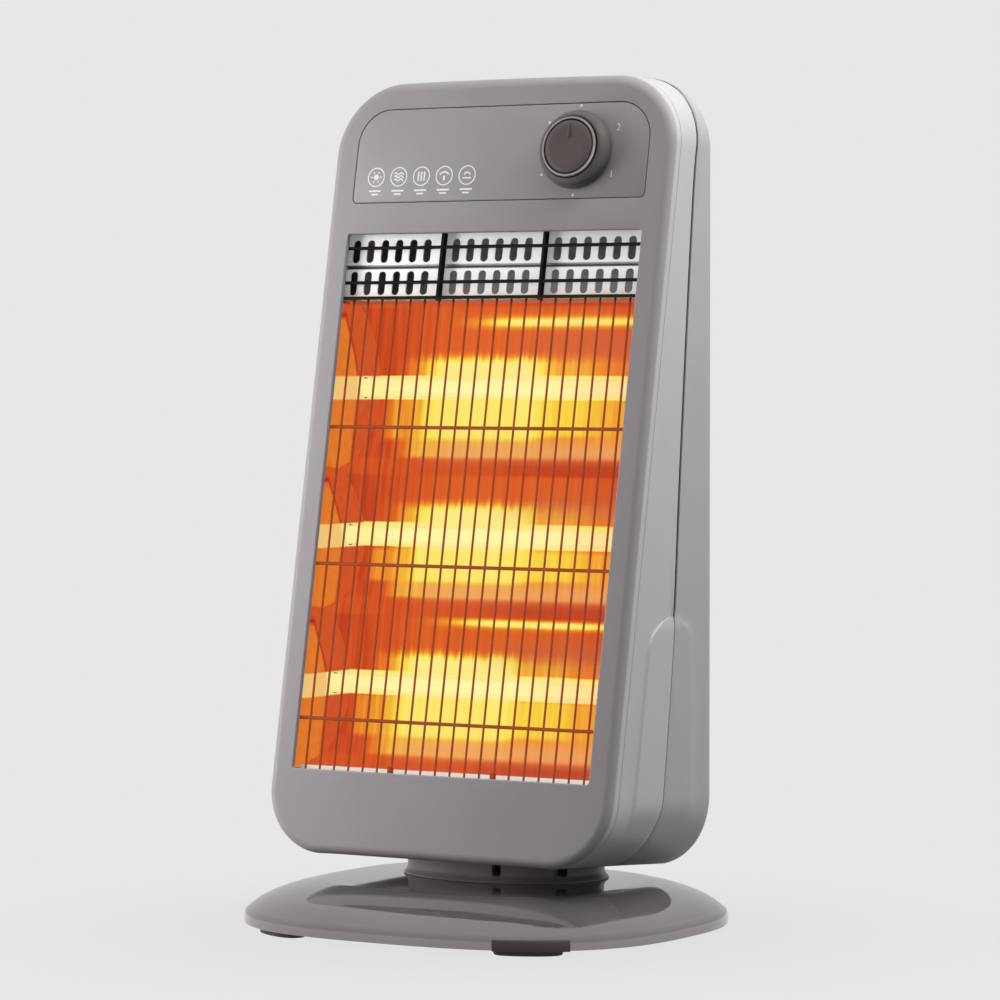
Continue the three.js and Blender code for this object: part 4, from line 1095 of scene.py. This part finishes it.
# ---------------------------------------------------------------- end cheeks
# Flanged sheet plates close the lamp space at both ends, with a hole for each tube and a small filling plate
# in the top corner. Their orange glow is painted light, with a painted reflection of each tube and of the
# reflector's end, a painted shade line along that end's edge and metal painted a warm brown.
def refined(node, body, slot, material, bevel=0.25, angle=35):
    """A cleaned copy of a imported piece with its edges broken, standing for it."""
    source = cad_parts[node]
    shape = bmesh.new()
    shape.from_mesh(source.data)
    shape.transform(source.matrix_world)
    shape.transform(METRES.inverted())
    bmesh.ops.remove_doubles(shape, verts=shape.verts, dist=0.01)
    bmesh.ops.dissolve_limit(shape, angle_limit=radians(1), verts=shape.verts, edges=shape.edges)
    if bevel:
        edges = [edge for edge in shape.edges if edge.is_manifold and edge.calc_face_angle() > radians(40)]
        rounding = {"offset": bevel, "segments": 2, "profile": 0.5, "affect": "EDGES", "clamp_overlap": True}
        bmesh.ops.bevel(shape, geom=edges, **rounding)
    return fitted(node + "_fine", shape, material, body, slot, node, angle=angle)


cheek_sheet = Finish("cheek_sheet", Metallic=0.8, Emission_Strength=0.88)
depth, s = up_the_face(cheek_sheet)
# Painted reflections of the tubes, drifting with depth.
mirrored = s - depth * 0.19 + 7.6
near = 0
for level in LAMP_LEVELS:
    near = (mirrored - level).math("ABSOLUTE", mirrored - level).smooth(8.2, 7) + near
sheen = cheek_sheet.noise(6, 3)
up = trough_of(s)[0]
past = depth - 29.5 + up.smooth(0, 1.2) * 29 + up.smooth(-0.86, -1) * 12  # past the mirrored end's edge
deep = past.smooth(-0.6, 0.6)
# A painted shade line runs along the edge of the painted reflection of the reflector's end.
dark_line = past.bell(0, 1.1) * up.smooth(0.0, 0.3)
level = sheen * 0.14 + 0.52 - deep * 0.16 - dark_line * 0.3
cheek_glow = near.mix(level.ramp(*HEAT), deep.mix(linear(252, 206, 124), linear(252, 238, 145)))
cheek_sheet.link(Emission_Color=cheek_glow, Roughness=sheen * 0.2 + 0.25)
cheek_sheet.link(Base_Color=sheen.mix(linear(90, 42, 22), linear(120, 60, 30)))
cheek_sheet.bump(sheen, 0.1, 0.05)
CHEEK_CORNER = [(9, 355.6), (24, 355.6), (31, 349.5), (32, 340), (20, 345)]
for side, x in (("left", -108.4), ("right", 108.4)):
    node = "end_cheek_" + side
    seen_only(refined(node, "head", "reflector_sheet", cheek_sheet.material, bevel=0))
    corner = across(CHEEK_CORNER, x - 0.3, x + 0.3)
    corner_name = "cheek_corner_" + side
    seen_only(fitted(corner_name, corner, cheek_sheet.material, "head", "reflector_sheet", node))


# ---------------------------------------------------------------- lamps
# Three burning quartz tubes, each with a coiled tungsten filament on support rings. Their ends sit in
# ceramic holders outside the cheeks.
def helix(start, Turns, Radius, Length, Wire):
    """A wire coiled along x."""
    spiral = {"Resolution": 9, "Rotations": Turns, "Start Radius": Radius, "End Radius": Radius}
    line = start.node("GeometryNodeCurveSpiral", {**spiral, "Height": Length})
    section = start.node("GeometryNodeCurvePrimitiveCircle", {"Resolution": 5, "Radius": Wire})
    sweep = {"Curve": line, "Profile Curve": section, "Fill Caps": True}
    coil = start.node("GeometryNodeCurveToMesh", sweep)
    return start.node("GeometryNodeTransform", {"Geometry": coil, "Rotation": (0.0, pi / 2, 0.0)})


quartz = Finish("quartz", Emission_Strength=1.0, Coat_Weight=0.4, Coat_Roughness=0.05)
mottle = quartz.noise(8, 3, (3, 1, 1))
burning = mottle.mix(linear(250, 236, 140), linear(254, 246, 168))
quartz.link(Emission_Color=(quartz.x.smooth(20, 100) * 0.8).mix(burning, linear(250, 208, 132)))
quartz.link(Base_Color=mottle.mix(linear(60, 50, 36), linear(84, 70, 50)), Roughness=mottle * 0.1 + 0.1)
quartz.bump(mottle, 0.05, 0.05)
tungsten = Finish("tungsten", Metallic=0.6, Emission_Strength=2.0)
grainy = tungsten.noise(1.2, 2)
white_heat = grainy.mix(linear(255, 238, 150), linear(255, 250, 205))
tungsten.link(Emission_Color=white_heat, Roughness=grainy * 0.2 + 0.3)
tungsten.link(Base_Color=grainy.mix(linear(90, 80, 70), linear(130, 118, 100)))
TUBE_END = 111.9
COIL_INSET = 6  # straight leads run into the tube's ends
wall_line = [(6, -TUBE_END + 0.4), (6, TUBE_END - 0.4), (5.7, TUBE_END), (4.8, TUBE_END), (4.8, -TUBE_END)]
wall_line.append((5.7, -TUBE_END))
stay_line = [(1.35, -0.35), (4.2, -0.35), (4.2, 0.35), (1.35, 0.35)]
for number, s in enumerate(LAMP_LEVELS, 1):
    middle = FACE @ Matrix.Translation((0, LAMP_DEPTH, s))
    along = middle @ Matrix.Rotation(pi / 2, 4, "Y")
    glass = turned(wall_line, 48, wrap=True, along=along)
    tube_name = "quartz_tube_%d" % number
    seen_only(fitted(tube_name, glass, quartz.material, "head", "quartz", "lamp_tube_%d" % number))
    length = 2.0 * (TUBE_END - COIL_INSET)
    coil = grown("filament", [(0, 0, 0)], helix, Turns=90.0, Radius=0.95, Length=length, Wire=0.28)
    coil.transform(middle @ Matrix.Translation((-TUBE_END + COIL_INSET, 0, 0)))
    parts = [coil]
    for x in (-70, 0, 70):
        parts.append(turned([(r, x + reach) for r, reach in stay_line], 24, wrap=True, along=along))
    for x in (-TUBE_END, TUBE_END - COIL_INSET):
        parts.append(rod(0.9, x, x + COIL_INSET, along, 12))
    coil_name = "filament_coil_%d" % number
    seen_only(fitted(coil_name, merged(parts), tungsten.material, "head", "filament", "filament_%d" % number))

porcelain = moulded("porcelain", (226, 220, 208), 0.4, grain=0.3, flake=0.04, clouds=0.05, Coat_Weight=0.3)
for number in (1, 2, 3):
    for side in ("left", "right"):
        refined("lamp_holder_%d_%s" % (number, side), "head", "ceramic", porcelain, bevel=0.3)


# ---------------------------------------------------------------- inside the head
# Galvanised sheet, bought-in switch, motor, terminal block and thermostat, with the turntable plate in the
# head's floor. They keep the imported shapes, which nothing shows, and get the finish of their material.
def coated(name, low, high, roughness, size, metallic=1.0, **traits):
    """Bare or plated metal with a spangle of that size."""
    finish = Finish(name, Metallic=metallic, **traits)
    spangle = finish.noise(size, 3)
    finish.link(Base_Color=spangle.mix(linear(*low), linear(*high)), Roughness=spangle * 0.2 + roughness)
    finish.bump(finish.noise(size / 5, 2), 0.2, 0.03)
    return finish.material


zinc = coated("zinc_sheet", (120, 122, 124), (168, 170, 172), 0.28, 7)
brass = coated("brass_plate", (150, 118, 62), (196, 160, 92), 0.25, 3)
spring_steel = coated("spring_steel", (96, 96, 98), (150, 150, 152), 0.25, 2)
black_case = moulded("black_case", (42, 40, 40), 0.5)
white_nylon = moulded("white_nylon", (220, 216, 206), 0.5)
CARRIED = {
    "heat_shield": zinc, "turntable": zinc, "swivel_motor": zinc, "thermal_cutout": black_case,
    "rotary_switch": black_case, "terminal_block": white_nylon, "crank": brass, "switch_shaft": brass,
    "swivel_spindle": zinc, "spindle_clip": spring_steel, "bearing_ring": white_nylon, "crank_yoke": zinc,
    "tip_switch": black_case, "tip_spring": spring_steel,
}
for node, material in CARRIED.items():
    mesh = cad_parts[node].data
    for slot in range(len(mesh.materials)):
        mesh.materials[slot] = material
    if not mesh.materials:
        mesh.materials.append(material)


# ---------------------------------------------------------------- base
# One wide glossy dome with a rolled rim, moulded in the casing's grey. Its polish mirrors the head and the
# room, and fine swirls and flecks break the reflection.
BASE_HALF_X = 147.2
BASE_HALF_Y = 126.2
BASE_BULGE = 2.7
SKIRT = 4
DOME = [(0.5, 31.2), (0.66, 31), (0.74, 29.3), (0.82, 26.3), (0.9, 21.8), (0.95, 17.6), (0.985, 13.5)]
dome_height = through(DOME)  # its height at each share of its width


def corner_angle(t):
    """The angle at share t of a quarter of an oval, so that its points lie evenly along the outline."""
    return pi / 2 * t**1.35 / (t**1.35 + (1 - t) ** 1.35)


def oval(half_x, half_y, z, middle=(0, 0), bulge=BASE_BULGE, quarter_steps=48):
    """A squarish oval at height z, its points even along the outline."""
    points = []
    for turn in range(4):
        for step in range(quarter_steps):
            angle = corner_angle(step / quarter_steps)
            c, s = cos(angle) ** (2 / bulge), sin(angle) ** (2 / bulge)
            x, y = ((c, s), (-s, c), (-c, -s), (s, -c))[turn]
            points.append((middle[0] + half_x * x, middle[1] + half_y * y, z))
    return points


def base_ring(share, z, wall=0):
    return oval(BASE_HALF_X * share - wall, BASE_HALF_Y * share - wall, z)


dome_shares = [0.66 + 0.325 * sin(pi / 2 * k / 28) for k in range(29)]
base_rings = [base_ring(share, dome_height(share) - WALL, WALL) for share in dome_shares]
base_rings += [base_ring(1, 8.75, WALL), base_ring(1, SKIRT, WALL), base_ring(1, SKIRT, 0.4)]
base_rings += [base_ring(1, SKIRT + 0.4)]
rim = [(1, 9.2), (0.9985, 10.6), (0.9955, 11.8), (0.991, 12.8)]
base_rings += [base_ring(share, z) for share, z in rim]
base_rings += [base_ring(share, dome_height(share)) for share in reversed(dome_shares)]
cover = carve(skin(base_rings), [rod(5, 20, 40, Matrix.Translation((0, SWIVEL_Y, 0)), 32)])
gloss = Finish("base_gloss", Metallic=0.75, Coat_Weight=0.5, Coat_Roughness=0.03)
cloud = gloss.noise(60, 3)
swirl = gloss.noise(3, 5, (4, 1, 4)).smooth(0.55, 0.8)
fleck = gloss.noise(0.5, 1)
gloss.link(Base_Color=(cloud * 0.5 + fleck * 0.5).mix(linear(139, 133, 134), linear(156, 150, 152)))
gloss.link(Roughness=cloud * 0.03 + swirl * 0.05 + 0.06)
gloss.bump(gloss.noise(25, 2), 0.02, 0.2)
fitted("base_dome", cover, gloss.material, "base", "base_plastic", "base_cover")


# ---------------------------------------------------------------- bottom plate
# A pressed steel plate closes the base and is its ballast. Six cross screws hold it, and the tip-over
# plunger comes through its hole.
plate_ring = [(0.5, 4.6), (0.0, 5.1), (0.0, 5.7), (0.5, 6.2)]
TIP_Y = -38
bottom = skin([oval(BASE_HALF_X - 3 - inset, BASE_HALF_Y - 3 - inset, z) for inset, z in plate_ring])
bottom = carve(bottom, [rod(5.2, 0, 10, Matrix.Translation((0, TIP_Y, 0)))])
black_sheet = coated("black_sheet", (44, 44, 46), (66, 66, 68), 0.4, 10, metallic=0.5)
fitted("bottom_plate", bottom, black_sheet, "base", "steel", "base_plate")
PLATE_SCREWS = [(x, -4.4, y) for x in (-110, 0, 110) for y in (-60, 60)]
plate_screws = grown("plate_screws", PLATE_SCREWS, cross_screw, Radius=4.0, Rise=1.1, Slot=0.9)
plate_screws.transform(Matrix.Rotation(-pi / 2, 4, "X"))
fitted("plate_screws", plate_screws, steel_bright.material, "base", "steel")


# ---------------------------------------------------------------- feet and tip-over plunger
# Four soft rubber feet stand out under the rim's corners, and a dark rubber strip lies on the rim beside two
# of them. A sprung black plunger between the feet opens the switch as soon as the base leaves the floor.
FOOT = {"x": 89, "y": 96, "half_x": 21, "half_y": 10, "turn": radians(26)}
CORNERS = {"front_left": (-1, -1), "front_right": (1, -1), "rear_left": (-1, 1), "rear_right": (1, 1)}
WITH_STRIP = ("front_right", "rear_left")
STRIP_SECTION = [(-0.8, 3.5), (0.3, 3.5), (0.4, 3.8), (0.4, 9.2), (0.25, 9.9), (-0.1, 10.6), (-0.8, 10.4)]
STRIP_START = 0.325  # its ends, as shares of the rim's quarter
STRIP_END = 0.52
foot_line = [(0.3, 4.3), (0.0, 4.0), (0.0, 1.4), (0.1, 0.8), (0.5, 0.25), (1.2, 0.0)]
for name, (side, end) in CORNERS.items():
    foot_rings = []
    for inset, z in foot_line:
        half_x, half_y = FOOT["half_x"] - inset, FOOT["half_y"] - inset
        foot_rings.append(oval(half_x, half_y, z, bulge=2.4, quarter_steps=16))
    foot = skin(foot_rings)
    foot_place = Matrix.Translation((side * FOOT["x"], end * FOOT["y"], 0))
    foot.transform(foot_place @ Matrix.Rotation(-side * end * FOOT["turn"], 4, "Z"))
    fitted("rubber_foot_" + name, foot, rubber, "base", "rubber", "foot_" + name)
    if name in WITH_STRIP:
        strip = []
        for k in range(13):
            angle = corner_angle(STRIP_START + (STRIP_END - STRIP_START) * k / 12)
            x, y = side * sin(angle) ** (2 / BASE_BULGE), end * cos(angle) ** (2 / BASE_BULGE)
            strip.append([(x * (BASE_HALF_X + out), y * (BASE_HALF_Y + out), z) for out, z in STRIP_SECTION])
        fitted("corner_strip_" + name, skin(strip), rubber, "base", "rubber")
refined("tip_plunger", "plunger", "dark_plastic", black_case, bevel=0.2)


# ---------------------------------------------------------------- neck collar
# A darker oval skirt round the swivel, moulded, with narrow slits for the motor's air. It is flared where it
# stands on the dome.
NECK_HALF_X = 66
NECK_HALF_Y = 46
NECK_BULGE = 2.2
collar_line = [(3, 47.2), (3, 31.3), (-2.5, 31.3), (-2.5, 31.8), (-2.1, 32.4), (-1.3, 33.2), (-0.6, 34.3)]
collar_line += [(0, 36), (0, 46.4), (0.3, 47.1), (0.9, 47.6), (2.6, 47.6)]
collar_rings = []
for inset, z in collar_line:
    collar_rings.append(oval(NECK_HALF_X - inset, NECK_HALF_Y - inset, z, (0, SWIVEL_Y), NECK_BULGE, 40))
collar = skin(collar_rings, wrap=True)
slit_size = {"From": (0, -60, 0), "To": (0, 100, 0), "Broad": 6.0, "Thick": 9.2, "Corner": 1.2}
slits = grown("neck_slits", [(x, 0, 40.0) for x in (20, 56)], bar, **slit_size)
neck_paint = moulded("neck_paint", (150, 138, 138), 0.38, grain=0.3, Coat_Weight=0.1)
fitted("neck_skirt", carve(collar, [slits]), neck_paint, "base", "neck_plastic", "neck_collar")
